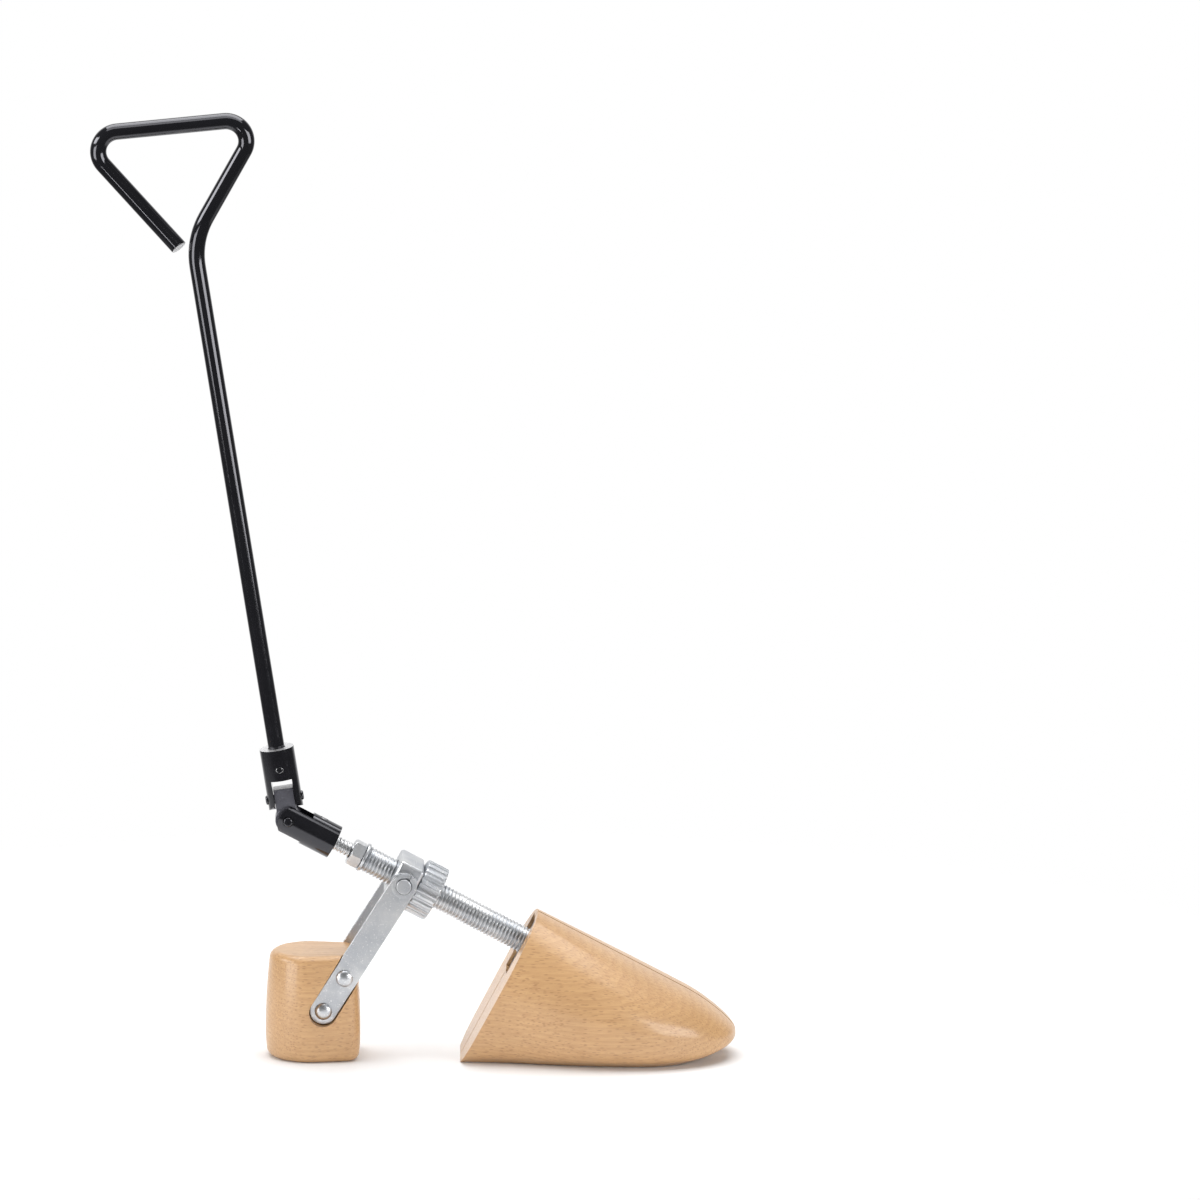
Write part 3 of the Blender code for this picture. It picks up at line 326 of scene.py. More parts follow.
def rod(diameter, start, end, axis="Z", place=(0.0, 0.0), sides=64):
    """A new cylinder between two places along an axis; place is where it lies across that axis."""
    half = (start + end) / 2
    location = {
        "X": (half, place[0], place[1]), "Y": (place[0], half, place[1]), "Z": (place[0], place[1], half)
    }[axis]
    turn = {"X": (0.0, math.pi / 2, 0.0), "Y": (math.pi / 2, 0.0, 0.0), "Z": (0.0, 0.0, 0.0)}[axis]
    bpy.ops.mesh.primitive_cylinder_add(
        vertices=sides, radius=diameter / 2, depth=end - start, location=location, rotation=turn
    )
    cylinder = bpy.context.object
    settle()
    return cylinder


def bore(piece, diameter, axis="Z", place=(0.0, 0.0), sides=64, ends=(-FAR, FAR)):
    """Drills right through a piece, with the running gap to spare all round."""
    cut(piece, rod(diameter + 2 * RUNNING_GAP, *ends, axis, place, sides))


def paint_all(piece, *materials):
    piece.data.materials.clear()
    for material in materials:
        piece.data.materials.append(material)


def paint_faces(piece, index, wanted):
    """Gives one of a piece's materials to the faces that wanted() accepts."""
    for face in piece.data.polygons:
        if wanted(face):
            face.material_index = index


def make_cut_steel():
    """The bright face of a cropped or sawn bar, with saw lines across it."""
    material, tree, shader, place, marks = start_material("cut_steel", Metallic=1.0)
    wave = {"Vector": place, "Scale": 900.0, "Distortion": 3.0, "Detail": 2.0}
    lines = add_node(tree, "ShaderNodeTexWave", wave).outputs["Fac"]
    steel = blended(tree, marks["Blotches"], (0.60, 0.60, 0.61), (0.74, 0.74, 0.75))
    dress(tree, shader, steel, mask(tree, lines, 0.0, 1.0, 0.38, 0.52), lines, 0.00001)
    return material


CUT_STEEL = make_cut_steel()


def towards(angle):
    """A direction in the handle's own plane, turned up from its X."""
    return Vector((math.cos(angle), 0.0, math.sin(angle)))


def on_plane(point, plane_point, normal):
    """True within a few microns of a plane."""
    return abs((point - plane_point).dot(normal)) < TOUCH / 2


def on_last_straight(face, end, way):
    """True for the faces round the grip's last straight and for its end face."""
    reach = face.calc_center_median() - end
    along = reach.dot(way)
    return -TOP_LENGTH / 2 < along < 1.1 * END_SPARE and (reach - way * along).length < 0.6 * BAR_DIAMETER


def make_handle():
    neck = Vector((0.0, 0.0, NECK_HEIGHT))
    front = neck + ARM_LENGTH * towards(math.pi / 2 - ARM_TURN)
    rear = front + TOP_LENGTH * towards(math.pi - TOP_TILT)
    end = neck - Vector((BAR_DIAMETER / 2 + END_GAP, 0.0, END_DROP))
    foot = Vector((0.0, 0.0, BAR_FOOT))
    bpy.ops.mesh.primitive_circle_add(
        vertices=48, radius=BAR_DIAMETER / 2, fill_type="NGON", location=(0.0, 0.0, 0.0)
    )
    bar = name_new("handle_bar")
    edit(bar)
    pick_all()
    bpy.ops.transform.translate(value=foot)
    bpy.ops.mesh.select_mode(type="FACE")
    here = foot
    corners = [(neck, NECK_RADIUS, front), (front, CORNER_RADIUS, rear), (rear, CORNER_RADIUS, end)]
    before = foot
    for corner, radius, after in corners:
        way_in = (corner - before).normalized()
        way_out = (after - corner).normalized()
        turn = way_in.angle(way_out)
        bend_start = corner - way_in * radius * math.tan(turn / 2)
        bpy.ops.mesh.extrude_region_move(TRANSFORM_OT_translate={"value": bend_start - here})
        axis = way_out.cross(way_in).normalized()
        centre = bend_start + way_in.cross(axis) * radius
        steps = max(BEND_LEAST_STEPS, int(turn / BEND_STEP))
        bpy.ops.mesh.spin(steps=steps, angle=turn, center=centre, axis=axis)
        here = corner + way_out * radius * math.tan(turn / 2)
        before = corner
    last_way = (end - before).normalized()
    bpy.ops.mesh.extrude_region_move(TRANSFORM_OT_translate={"value": end + last_way * END_SPARE - here})
    outwards = last_way * math.cos(END_SLANT) - left_way * math.sin(END_SLANT)
    pick(bar, "faces", lambda face: on_last_straight(face, end, last_way))
    saw(end, -outwards)
    pick(bar, "edges", lambda edge: all(on_plane(vertex.co, end, outwards) for vertex in edge.verts))
    bpy.ops.mesh.bevel(offset=END_CHAMFER, segments=2, affect="EDGES")
    pick(bar, "faces", lambda face: face.normal.dot(outwards) > 0.9 and on_last_straight(face, end, last_way))
    leave_edit()
    paint_all(bar, BLACK_PAINT, CUT_STEEL)
    paint_faces(bar, 1, lambda face: face.select)
    bore(bar, CROSS_PIN_DIAMETER, "Y", (0.0, SLEEVE_PIN_PLACE), ends=JOINT_ENDS)
    lay(bar, handle_place, "handle", "black_paint", "handle")


make_handle()


# Sleeves of the universal joint
# Two short black sleeves, bored for the bar or the spindle, cross-pinned, and milled with a slot between two
# rounded ears for the link. Their rims and slot edges have lost some paint, and the faced ends are bare.

SLEEVE_SLOT_DEPTH = 0.011
SLEEVE_RIM = 0.0004
SLEEVE_SLOT_WIDTH = 0.011
SLEEVE_EAR_TIP = 0.0052
SPINDLE_DIAMETER = 0.008
JOINT_PIN_DIAMETER = 0.005


def soften(piece, width, segments=3, angle=35.0, worn=False):
    """Rounds the sharp edges; worn puts the second material on them."""
    make_active(piece)
    edges = piece.modifiers.new("soft_edges", "BEVEL")
    edges.width = width
    edges.segments = segments
    edges.limit_method = "ANGLE"
    edges.angle_limit = math.radians(angle)
    edges.material = 1 if worn else -1
    bpy.ops.object.modifier_apply(modifier=edges.name)


def block(low, high):
    """A new box between two corners."""
    low, high = Vector(low), Vector(high)
    bpy.ops.mesh.primitive_cube_add(size=1.0, location=(low + high) / 2)
    cube = bpy.context.object
    cube.scale = high - low
    settle()
    return cube


def extent(node, place):
    """The lowest and highest corner of a CAD node along a place's own axes."""
    inward = place.inverted()
    spots = [inward @ vertex.co for vertex in frame["nodes"][node].data.vertices]
    low = Vector([min(spot[axis] for spot in spots) for axis in range(3)])
    high = Vector([max(spot[axis] for spot in spots) for axis in range(3)])
    return low, high


sleeve_reach = extent("handle_socket", handle_place)[1].z
sleeve_diameter = 2 * extent("handle_socket", handle_place)[1].y


def make_sleeve(name, bar_diameter, place, body, node):
    """The sleeve stands on its pin, which lies along its own X, and opens at the top for its bar."""
    rod(sleeve_diameter, -SLEEVE_EAR_TIP, sleeve_reach, sides=96)
    sleeve = name_new(name)
    ear_diameter = sleeve_diameter + 2 * RUNNING_GAP
    ear_centre = ear_diameter / 2 - SLEEVE_EAR_TIP
    ears = rod(ear_diameter, -NEAR, NEAR, "X", (0.0, ear_centre), 96)
    above = block((-NEAR, -NEAR, ear_centre), (NEAR, NEAR, FAR))
    cut(ears, above, "UNION")
    cut(sleeve, ears, "INTERSECT")
    half_slot = SLEEVE_SLOT_WIDTH / 2
    cut(sleeve, block((-half_slot, -NEAR, -NEAR), (half_slot, NEAR, SLEEVE_SLOT_DEPTH)))
    bore(sleeve, bar_diameter, ends=(-NEAR, FAR))
    bore(sleeve, JOINT_PIN_DIAMETER, "X", ends=JOINT_ENDS)
    bore(sleeve, CROSS_PIN_DIAMETER, "Y", (0.0, SLEEVE_PIN_PLACE), ends=JOINT_ENDS)
    paint_all(sleeve, BLACK_PAINT, WORN_PAINT, CUT_STEEL)
    soften(sleeve, SLEEVE_RIM, worn=True)
    mouth = sleeve_reach - SLEEVE_RIM / 2
    paint_faces(sleeve, 2, lambda face: face.normal.z > 0.99 and face.center.z > mouth)
    lay(sleeve, place, body, "black_paint", node)


spindle_way = Vector(joints["spindle_spin"]["axis"]).normalized()
spindle_sleeve_place = standing_at(lower_pin, left_way, spindle_way)
make_sleeve("handle_sleeve", BAR_DIAMETER, handle_place, "handle", "handle_socket")
make_sleeve("spindle_sleeve", SPINDLE_DIAMETER, spindle_sleeve_place, "spindle", "spindle_socket")


# Cross pins
# A short drive pin through each sleeve and its bar, filed off flush and painted over with the sleeve.

CROSS_PIN_RIM = 0.0003


def make_cross_pin(name, place, body, node):
    half = sleeve_diameter / 2 - RUNNING_GAP / 2
    rod(CROSS_PIN_DIAMETER, -half, half, "Y", (0.0, SLEEVE_PIN_PLACE), 32)
    pin = name_new(name)
    paint_all(pin, BLACK_PAINT, WORN_PAINT)
    soften(pin, CROSS_PIN_RIM, worn=True)
    lay(pin, place, body, "black_paint", node)


make_cross_pin("handle_sleeve_pin", handle_place, "handle", "handle_socket_pin")
make_cross_pin("spindle_sleeve_pin", spindle_sleeve_place, "spindle", "spindle_socket_pin")


# Link
# One piece of steel between the two crossed pins: a round eye for the lower pin and, above it, a square block
# for the upper one. It is machined and left bare, so it has gone dull grey with brighter rubbed flanks; its
# flat top is coloured as bright bare steel, a painted highlight for the light that falls on it from above.

LINK_WIDTH = 0.0104
LINK_DIAMETER = 0.0134
LINK_DEPTH = 0.0096
LINK_TOP = 0.0058
LINK_RIM = 0.0006


def make_metal(name, dark, light, scratched, rough, smooth, scratch_depth):
    """Bare or plated metal: two tones in soft blotches, with fine scratches cut into it."""
    material, tree, shader, place, marks = start_material(name, Metallic=1.0)
    metal = blended(tree, marks["Blotches"], dark, light)
    fine = blended(tree, marks["Scratches"], metal, scratched)
    sheen = mask(tree, marks["Blotches"], 0.0, 1.0, rough, smooth)
    groove = mask(tree, marks["Scratches"], 0.0, 1.0, 1.0, 0.0)
    dress(tree, shader, fine, sheen, groove, scratch_depth)
    return material


GREY_STEEL = make_metal(
    "grey_steel", dark=(0.13, 0.13, 0.15), light=(0.21, 0.21, 0.24), scratched=(0.2352, 0.2352, 0.2688),
    rough=0.46, smooth=0.36, scratch_depth=0.00003,
)


def make_link():
    pin_spacing = (upper_pin - lower_pin).length
    rod(LINK_DIAMETER, -LINK_WIDTH / 2, LINK_WIDTH / 2, "Y", (0.0, -pin_spacing), 72)
    link = name_new("link_block")
    half_width, half_depth = LINK_WIDTH / 2, LINK_DEPTH / 2
    upper = block((-half_width, -half_depth, -LINK_DIAMETER / 2), (half_width, half_depth, LINK_TOP))
    cut(link, upper, "UNION")
    bore(link, JOINT_PIN_DIAMETER, "Y", (0.0, -pin_spacing), ends=JOINT_ENDS)
    bore(link, JOINT_PIN_DIAMETER, "X", ends=JOINT_ENDS)
    paint_all(link, GREY_STEEL, CUT_STEEL)
    soften(link, LINK_RIM)
    # Painted highlight: the flat top gets the bright cut steel, standing in for the light that falls on it.
    paint_faces(link, 1, lambda face: face.center.z > LINK_TOP - LINK_RIM / 6)
    lay(link, handle_place, "link", "dark_steel", "joint_link")


make_link()


# Joint pins
# A rivet through each pair of ears, its ends hammered over to low domes and painted black with the sleeves.

RIVET_DOME = 0.0009


def make_joint_pin(name, place, body, node):
    half = extent(node, place)[1].x
    rod(JOINT_PIN_DIAMETER, -half, half, "X", sides=40)
    pin = name_new(name)
    edit(pin)
    pick(pin, "edges", lambda edge: not runs_along(edge, 0))
    bpy.ops.mesh.bevel(offset=RIVET_DOME, segments=5, affect="EDGES")
    leave_edit()
    paint_all(pin, BLACK_PAINT)
    lay(pin, place, body, "black_paint", node)


make_joint_pin("upper_rivet", handle_place, "handle", "upper_joint_pin")
make_joint_pin("lower_rivet", spindle_sleeve_place, "spindle", "lower_joint_pin")


# Spindle
# A bright zinc-plated bar with a rolled thread, pinned into the lower sleeve. It shows between the sleeve and
# the thrust nut, turns freely in the length tube, and draws the wedge along inside the toe.

THREAD_PITCH = 0.002
THREAD_STEPS = 40
SPINDLE_THREAD_DEPTH = 0.0007

ZINC = make_metal(
    "bright_zinc", dark=(0.50, 0.52, 0.55), light=(0.72, 0.72, 0.72), scratched=(0.8064, 0.8064, 0.8064),
    rough=0.38, smooth=0.27, scratch_depth=0.000008,
)

spindle_place = standing_at(lower_pin, spindle_way, spindle_way.cross(left_way))
ALONG_SPINDLE = Matrix.Rotation(math.pi / 2, 4, "Y")


def make_thread(name, diameter, depth, start, end, pitch=THREAD_PITCH):
    """A threaded bar along its own Z: one tooth, drawn as an open line of four points, screwed upwards."""
    outer = diameter / 2
    inner = outer - depth
    bpy.ops.mesh.primitive_plane_add(size=1.0)
    bar = name_new(name)
    edit(bar)
    bpy.ops.mesh.delete(type="ONLY_FACE")
    pick(bar, "edges", lambda edge: middle(edge).x < -0.4)
    bpy.ops.mesh.delete(type="EDGE")
    shape = bmesh.from_edit_mesh(bar.data)
    for vertex in shape.verts:
        side = 1 if vertex.co.y > 0 else -1
        crest = vertex.co.x > 0
        height = start - pitch + side * (pitch / 8 if crest else pitch / 2)
        vertex.co = (outer if crest else inner, 0.0, height)
    bmesh.update_edit_mesh(bar.data)
    leave_edit()
    turning = bar.modifiers.new("thread", "SCREW")
    turning.axis = "Z"
    turning.screw_offset = pitch
    turning.iterations = int((end - start) / pitch) + 3
    turning.steps = THREAD_STEPS
    turning.render_steps = THREAD_STEPS
    bpy.ops.object.modifier_apply(modifier=turning.name)
    edit(bar)
    pick_all()
    bpy.ops.mesh.remove_doubles(threshold=TOUCH / 2)
    for height, upwards in ((start, 1.0), (end, -1.0)):
        pick_all()
        saw((0.0, 0.0, height), (0.0, 0.0, upwards))
    pick_all()
    bpy.ops.mesh.normals_make_consistent(inside=False)
    leave_edit()
    return bar


def lay_zinc(piece, place, body, node):
    paint_all(piece, ZINC)
    lay(piece, place, body, "zinc_plate", node)


def make_spindle():
    low, high = extent("spindle", spindle_place)
    spindle = make_thread("threaded_spindle", 2 * high.y, SPINDLE_THREAD_DEPTH, low.x, high.x)
    bore(spindle, CROSS_PIN_DIAMETER, "X", (0.0, SLEEVE_PIN_PLACE), ends=JOINT_ENDS)
    lay_zinc(spindle, spindle_place @ ALONG_SPINDLE, "spindle", "spindle")


make_spindle()


# Thrust nut and washer
# A zinc-plated hexagon nut locked on the spindle, which pushes on a plain washer against the tube's end.

NUT_CHAMFER = 0.0008
NUT_RIM = 0.00015


def make_ring(name, outer, inner, start, end, sides=72, rim=0.0003):
    """A turned ring along its own Z, made from a disc whose two faces are inset and bridged through."""
    rod(outer, start, end, sides=sides)
    ring = name_new(name)
    edit(ring)
    pick(ring, "faces", lambda face: abs(face.normal.z) > 0.9)
    bpy.ops.mesh.inset(thickness=(outer - inner) / 2, use_even_offset=False)
    bpy.ops.mesh.bridge_edge_loops()
    leave_edit()
    soften(ring, rim, segments=3)
    return ring


def make_thrust_nut():
    low, high = extent("thrust_nut", spindle_place)
    corners = 2 * high.y
    rod(corners, low.x, high.x, sides=6)
    nut = name_new("hexagon_nut")
    turned = rod(corners, low.x, high.x, sides=96)
    edit(turned)
    pick(turned, "edges", lambda edge: not runs_along(edge, 2))
    bpy.ops.mesh.bevel(offset=NUT_CHAMFER, segments=1, affect="EDGES")
    leave_edit()
    cut(nut, turned, "INTERSECT")
    bore(nut, SPINDLE_DIAMETER, ends=(0.0, 2 * FAR))
    soften(nut, NUT_RIM, segments=2)
    lay_zinc(nut, spindle_place @ ALONG_SPINDLE, "spindle", "thrust_nut")


def make_washer():
    low, high = extent("thrust_washer", spindle_place)
    washer = make_ring("plain_washer", 2 * high.y, SPINDLE_DIAMETER + 2 * RUNNING_GAP, low.x, high.x)
    lay_zinc(washer, spindle_place @ ALONG_SPINDLE, "frame", "thrust_washer")


make_thrust_nut()
make_washer()


# Length tube
# A zinc-plated steel tube with a rolled outside thread for the length nut, fixed in the toe's frame by a set
# screw. The heel carriage slides on it.

TUBE_THREAD_DEPTH = 0.0008
TUBE_BORE = 0.0088

tube_low, tube_high = extent("length_tube", spindle_place)
tube_diameter = 2 * tube_high.y
tube_clearance = tube_diameter + 2 * RUNNING_GAP


def make_tube():
    tube = make_thread("threaded_tube", tube_diameter, TUBE_THREAD_DEPTH, tube_low.x, tube_high.x)
    cut(tube, rod(TUBE_BORE, tube_low.x - OVERRUN, tube_high.x + OVERRUN))
    lay_zinc(tube, spindle_place @ ALONG_SPINDLE, "frame", "length_tube")


make_tube()


# Length nut
# A round hand nut with fluted sides, turned by thumb and finger to push the heel block away from the toe.

FLUTE_COUNT = 24
FLUTE_DEPTH = 0.0008
FLUTE_DIAMETER = 0.0026
FLUTE_RIM = 0.0002
LENGTH_NUT_RIM = 0.0009


def make_length_nut():
    low, high = extent("length_nut", spindle_place)
    outer = 2 * high.y
    nut = make_ring("fluted_nut", outer, tube_clearance, low.x, high.x, 120, LENGTH_NUT_RIM)
    mill_place = ((outer + FLUTE_DIAMETER) / 2 - FLUTE_DEPTH, 0.0)
    mill = rod(FLUTE_DIAMETER, low.x - OVERRUN, high.x + OVERRUN, "Z", mill_place, 20)
    edit(mill)
    pick_all()
    copies = FLUTE_COUNT - 1
    spread = 2 * math.pi * copies / FLUTE_COUNT
    bpy.ops.mesh.spin(steps=copies, dupli=True, angle=spread, center=(0.0, 0.0, 0.0), axis=(0.0, 0.0, 1.0))
    leave_edit()
    cut(nut, mill)
    soften(nut, FLUTE_RIM, segments=2, angle=40.0)
    lay_zinc(nut, spindle_place @ ALONG_SPINDLE, "length_nut", "length_nut")


make_length_nut()


# Heel carriage
# A zinc-plated block that slides on the tube and carries a stub on each side for the heel straps, which
# pressed-on retaining rings hold.

BLOCK_RIM = 0.0019
STUB_DIAMETER = 0.008
STUB_RIM = 0.0005
RING_GAP = 0.0024
RING_RIM = 0.0002
HANDS = {"left": 1, "right": -1}
ALONG_LEFT = Matrix.Rotation(math.pi / 2, 4, "X")

heel_pin = Vector(joints["heel_swivel"]["pos_m"])
carriage_place = standing_at(heel_pin, spindle_way, spindle_way.cross(left_way))


def make_carriage():
    low, high = extent("trunnion_block", carriage_place)
    half_width = extent("left_heel_strap", carriage_place)[0].y - RUNNING_GAP
    block((low.x, -half_width, low.z), (high.x, half_width, high.z))
    carriage = name_new("sliding_block")
    soften(carriage, BLOCK_RIM, segments=5)
    stubs = rod(STUB_DIAMETER, low.y, high.y, "Y", sides=64)
    soften(stubs, STUB_RIM)
    cut(carriage, stubs, "UNION")
    bore(carriage, tube_diameter, "X", sides=96)
    lay_zinc(carriage, carriage_place, "heel_carriage", "trunnion_block")


def make_retaining_ring(hand):
    """A spring ring with a gap, pressed into place on its stub."""
    node = hand + "_trunnion_clip"
    low, high = extent(node, carriage_place)
    name = hand + "_retaining_ring"
    ring = make_ring(name, 2 * high.x, STUB_DIAMETER + 2 * RUNNING_GAP, -high.y, -low.y, 48, RING_RIM)
    cut(ring, block((-RING_GAP / 2, 0.0, -FAR), (RING_GAP / 2, FAR, FAR)))
    lay_zinc(ring, carriage_place @ ALONG_LEFT, "heel_carriage", node)


make_carriage()
for hand in HANDS:
    make_retaining_ring(hand)


# Heel straps and rivets
# Two zinc-plated flat straps let into the sides of the heel block, with rounded ends and stamped holes. Two
# rivets with domed heads go right through the straps and the wood.

STRAP_WIDTH = 0.014
STRAP_RIM = 0.0004
RIVET_SHANK = 0.005
SHANK_OVERLAP = 0.0005


def node_middle(node):
    low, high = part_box(node)
    return (low + high) / 2


rivets = [node_middle("lower_heel_rivet"), node_middle("upper_heel_rivet")]
strap_reach = (rivets[0] - heel_pin).length
strap_way = (rivets[0] - heel_pin).normalized()
strap_place = standing_at(heel_pin, strap_way, strap_way.cross(left_way))


def rounded_bar(half_width, inside, outside):
    """A flat bar over the whole strap with half-round ends, between two places across the heel."""
    bar = block((-half_width, inside, -half_width), (strap_reach + half_width, outside, half_width))
    edit(bar)
    pick(bar, "edges", lambda edge: runs_along(edge, 1))
    bpy.ops.mesh.bevel(offset=half_width - TOUCH, segments=16, affect="EDGES")
    leave_edit()
    return bar


def make_strap(hand):
    node = hand + "_heel_strap"
    low, high = extent(node, strap_place)
    rounded_bar(STRAP_WIDTH / 2, low.y, high.y)
    strap = name_new(hand + "_strap")
    bore(strap, STUB_DIAMETER, "Y")
    for rivet in rivets:
        bore(strap, RIVET_SHANK, "Y", ((rivet - heel_pin).length, 0.0), 40)
    soften(strap, STRAP_RIM)
    lay_zinc(strap, strap_place, "heel", node)


for hand in HANDS:
    make_strap(hand)


def make_heel_rivet(level, centre):
    """A shank with a domed head outside each strap."""
    node = level + "_heel_rivet"
    place = Matrix.Translation(centre)
    low, high = extent(node, place)
    seat = extent("left_heel_strap", place)[1].y + RUNNING_GAP
    head = high.x
    rod(RIVET_SHANK, -seat - SHANK_OVERLAP, seat + SHANK_OVERLAP, "Y", sides=40)
    rivet = name_new(level + "_rivet_through")
    for side in HANDS.values():
        bpy.ops.mesh.primitive_uv_sphere_add(
            segments=48, ring_count=24, radius=head, location=(0.0, side * seat, 0.0)
        )
        dome = bpy.context.object
        dome.scale = (1.0, (high.y - seat) / head, 1.0)
        settle()
        edit(dome)
        pick_all()
        saw((0.0, side * seat, 0.0), (0.0, side, 0.0))
        leave_edit()
        cut(rivet, dome, "UNION")
    lay_zinc(rivet, place, "heel", node)


for level, centre in zip(("lower", "upper"), rivets):
    make_heel_rivet(level, centre)


# Heel block
# A solid block of steamed beech under a thin satin varnish, with a half-round back, drawn in towards its top,
# and both rims rounded by hand. A flat recess on each side takes its strap.

RING_WAVER = (0.0, 0.010, 0.010)
PITH_PLACE = (0.0, -0.035, 0.085)


def make_grain():
    """Growth rings round an axis along X below the wood, stretched fibres and short flecks."""
    group, given, result = new_group(
        "beech_grain",
        [("Vector", "Vector", None)],
        [("Rings", "Float"), ("Fibres", "Float"), ("Flecks", "Float")],
    )
    place = given.outputs["Vector"]
    wander = noise(group, stretched(group, place, (4.0, 30.0, 30.0)), 1.0, 3.0, 0.55)["Color"]
    moved = add_node(
        group, "ShaderNodeVectorMath", {0: wander, 1: RING_WAVER, 2: place}, operation="MULTIPLY_ADD"
    )
    pith = stretched(group, moved.outputs["Vector"], (0.12, 1.0, 1.0), Location=PITH_PLACE)
    rings = add_node(
        group, "ShaderNodeTexWave",
        {"Vector": pith, "Scale": 110.0, "Distortion": 1.6, "Detail": 3.0, "Detail Scale": 1.2},
        wave_type="RINGS", rings_direction="X", wave_profile="SAW",
    )
    fibres = noise(group, stretched(group, place, (28.0, 950.0, 950.0)), 1.0, 4.0, 0.62)
    specks = {"Vector": stretched(group, place, (230.0, 1500.0, 1100.0)), "Scale": 1.0, "Randomness": 1.0}
    flecks = add_node(group, "ShaderNodeTexVoronoi", specks).outputs
    chosen = mask(group, flecks["Color"], 0.35, 0.45)
    fleck = reckoned(group, "MULTIPLY", mask(group, flecks["Distance"], 0.42, 0.20), chosen)
    for name, source in (("Rings", rings.outputs["Fac"]), ("Fibres", fibres["Fac"]), ("Flecks", fleck)):
        group.links.new(source, result.inputs[name])
    return group


BEECH_GRAIN = make_grain()
BEECH_PALE = (0.60, 0.365, 0.175)
BEECH_DARK = (0.43, 0.225, 0.095)
BEECH_FLECK = (0.27, 0.125, 0.052)
BEECH_HANDLED = (0.36, 0.20, 0.09)
FIBRE_RELIEF = 0.00012


def make_beech(name, tone):
    """Beech in satin varnish; a tone below 1 is the darker wood that the saw and the cutter leave."""
    material, tree, shader, place, marks = start_material(name, Coat_Weight=0.45, Coat_Roughness=0.16)
    grain = add_node(tree, "ShaderNodeGroup", {"Vector": place}, node_tree=BEECH_GRAIN).outputs
    pale, dark, fleck, handled = (
        tuple(channel * tone for channel in colour)
        for colour in (BEECH_PALE, BEECH_DARK, BEECH_FLECK, BEECH_HANDLED)
    )
    wood = blended(tree, mask(tree, grain["Rings"], 0.35, 1.0, 0.0, 0.30), pale, dark)
    wood = blended(tree, mask(tree, grain["Fibres"], 0.40, 0.66, 0.0, 0.42), wood, dark)
    wood = blended(tree, mask(tree, grain["Flecks"], 0.0, 1.0, 0.0, 0.50), wood, fleck)
    wood = blended(tree, mask(tree, marks["Blotches"], 0.0, 1.0, 0.0, 0.22), wood, handled)
    roughness = mask(tree, grain["Fibres"], 0.3, 0.7, 0.34, 0.50)
    dress(tree, shader, wood, roughness, grain["Fibres"], FIBRE_RELIEF)
    return material


BEECH = make_beech("varnished_beech", 1.0)
SAWN_BEECH = make_beech("sawn_beech", 0.86)

HEEL_FRONT_WIDTH = 0.040
HEEL_FRONT_REACH = 0.026
HEEL_CORNER_RADIUS = 0.006
HEEL_RIM = 0.004
HEEL_LEVELS = 14
HEEL_FULLEST = 0.25
HEEL_FOOT_DRAW = 0.05
HEEL_TOP_DRAW = 0.11
RECESS_MARGIN = 0.0005


def heel_swell(share):
    """How full the block is at a share of its height."""
    if share < HEEL_FULLEST:
        return 1.0 - HEEL_FOOT_DRAW * (1.0 - share / HEEL_FULLEST) ** 2
    return 1.0 - HEEL_TOP_DRAW * ((share - HEEL_FULLEST) / (1.0 - HEEL_FULLEST)) ** 2


def make_heel_block():
    low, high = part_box("heel_block")
    half_back = high.y
    height = high.z
    centre = low.x + half_back
    back = rod(2 * half_back, 0.0, height, sides=96)
    edit(back)
    pick_all()
    bpy.ops.mesh.bisect(plane_co=(0.0, 0.0, 0.0), plane_no=(1.0, 0.0, 0.0), clear_outer=True)
    leave_edit()
    block((0.0, -half_back, 0.0), (HEEL_FRONT_REACH, half_back, height))
    heel = name_new("heel_wood")
    edit(heel)
    pick(heel, "faces", lambda face: face.normal.x < -0.9)
    bpy.ops.mesh.delete(type="FACE")
    pick(heel, "edges", lambda edge: middle(edge).x > HEEL_FRONT_REACH / 2 and runs_along(edge, 2))
    bpy.ops.transform.resize(
        value=(1.0, HEEL_FRONT_WIDTH / (2 * half_back), 1.0), center_override=(0.0, 0.0, 0.0)
    )
    bpy.ops.mesh.bevel(offset=HEEL_CORNER_RADIUS, segments=8, affect="EDGES")
    leave_edit()
    back.select_set(True)
    heel.select_set(True)
    bpy.ops.object.join()
    edit(heel)
    pick_all()
    bpy.ops.mesh.remove_doubles(threshold=2 * TOUCH)
    bpy.ops.mesh.normals_make_consistent(inside=False)
    for level in range(1, HEEL_LEVELS):
        pick_all()
        bpy.ops.mesh.bisect(plane_co=(0.0, 0.0, height * level / HEEL_LEVELS), plane_no=(0.0, 0.0, 1.0))
    for level in range(HEEL_LEVELS + 1):
        share = level / HEEL_LEVELS
        pick(heel, "verts", lambda vertex: abs(vertex.co.z - height * share) < 10 * TOUCH)
        drawn = heel_swell(share)
        bpy.ops.transform.resize(value=(drawn, drawn, 1.0), center_override=(0.0, 0.0, height * share))
    pick(heel, "edges", lambda edge: edge.calc_face_angle(0.0) > 1.0 and not runs_along(edge, 2))
    bpy.ops.mesh.bevel(offset=HEEL_RIM, segments=8, affect="EDGES")
    leave_edit()
    paint_all(heel, BEECH, SAWN_BEECH)
    place = Matrix.Translation((centre, 0.0, 0.0))
    recess_floor = extent("left_heel_strap", strap_place)[0].y - RUNNING_GAP
    for inside, outside in ((recess_floor, FAR), (-FAR, -recess_floor)):
        recess = rounded_bar(STRAP_WIDTH / 2 + RECESS_MARGIN, inside, outside)
        cut(heel, set_in(recess, place.inverted() @ strap_place))
    for rivet in rivets:
        bore(heel, RIVET_SHANK, "Y", (rivet.x - centre, rivet.z), 40)
    lay(heel, place, "heel", "varnished_beech", "heel_block")


make_heel_block()


# Spreader frame
# Inside the toe, a zinc-plated steel frame in one piece: a rear block that the tube is screwed into, a front
# block that takes the spindle's tip, and two rails between them. Guide pins go across, and a set screw down.

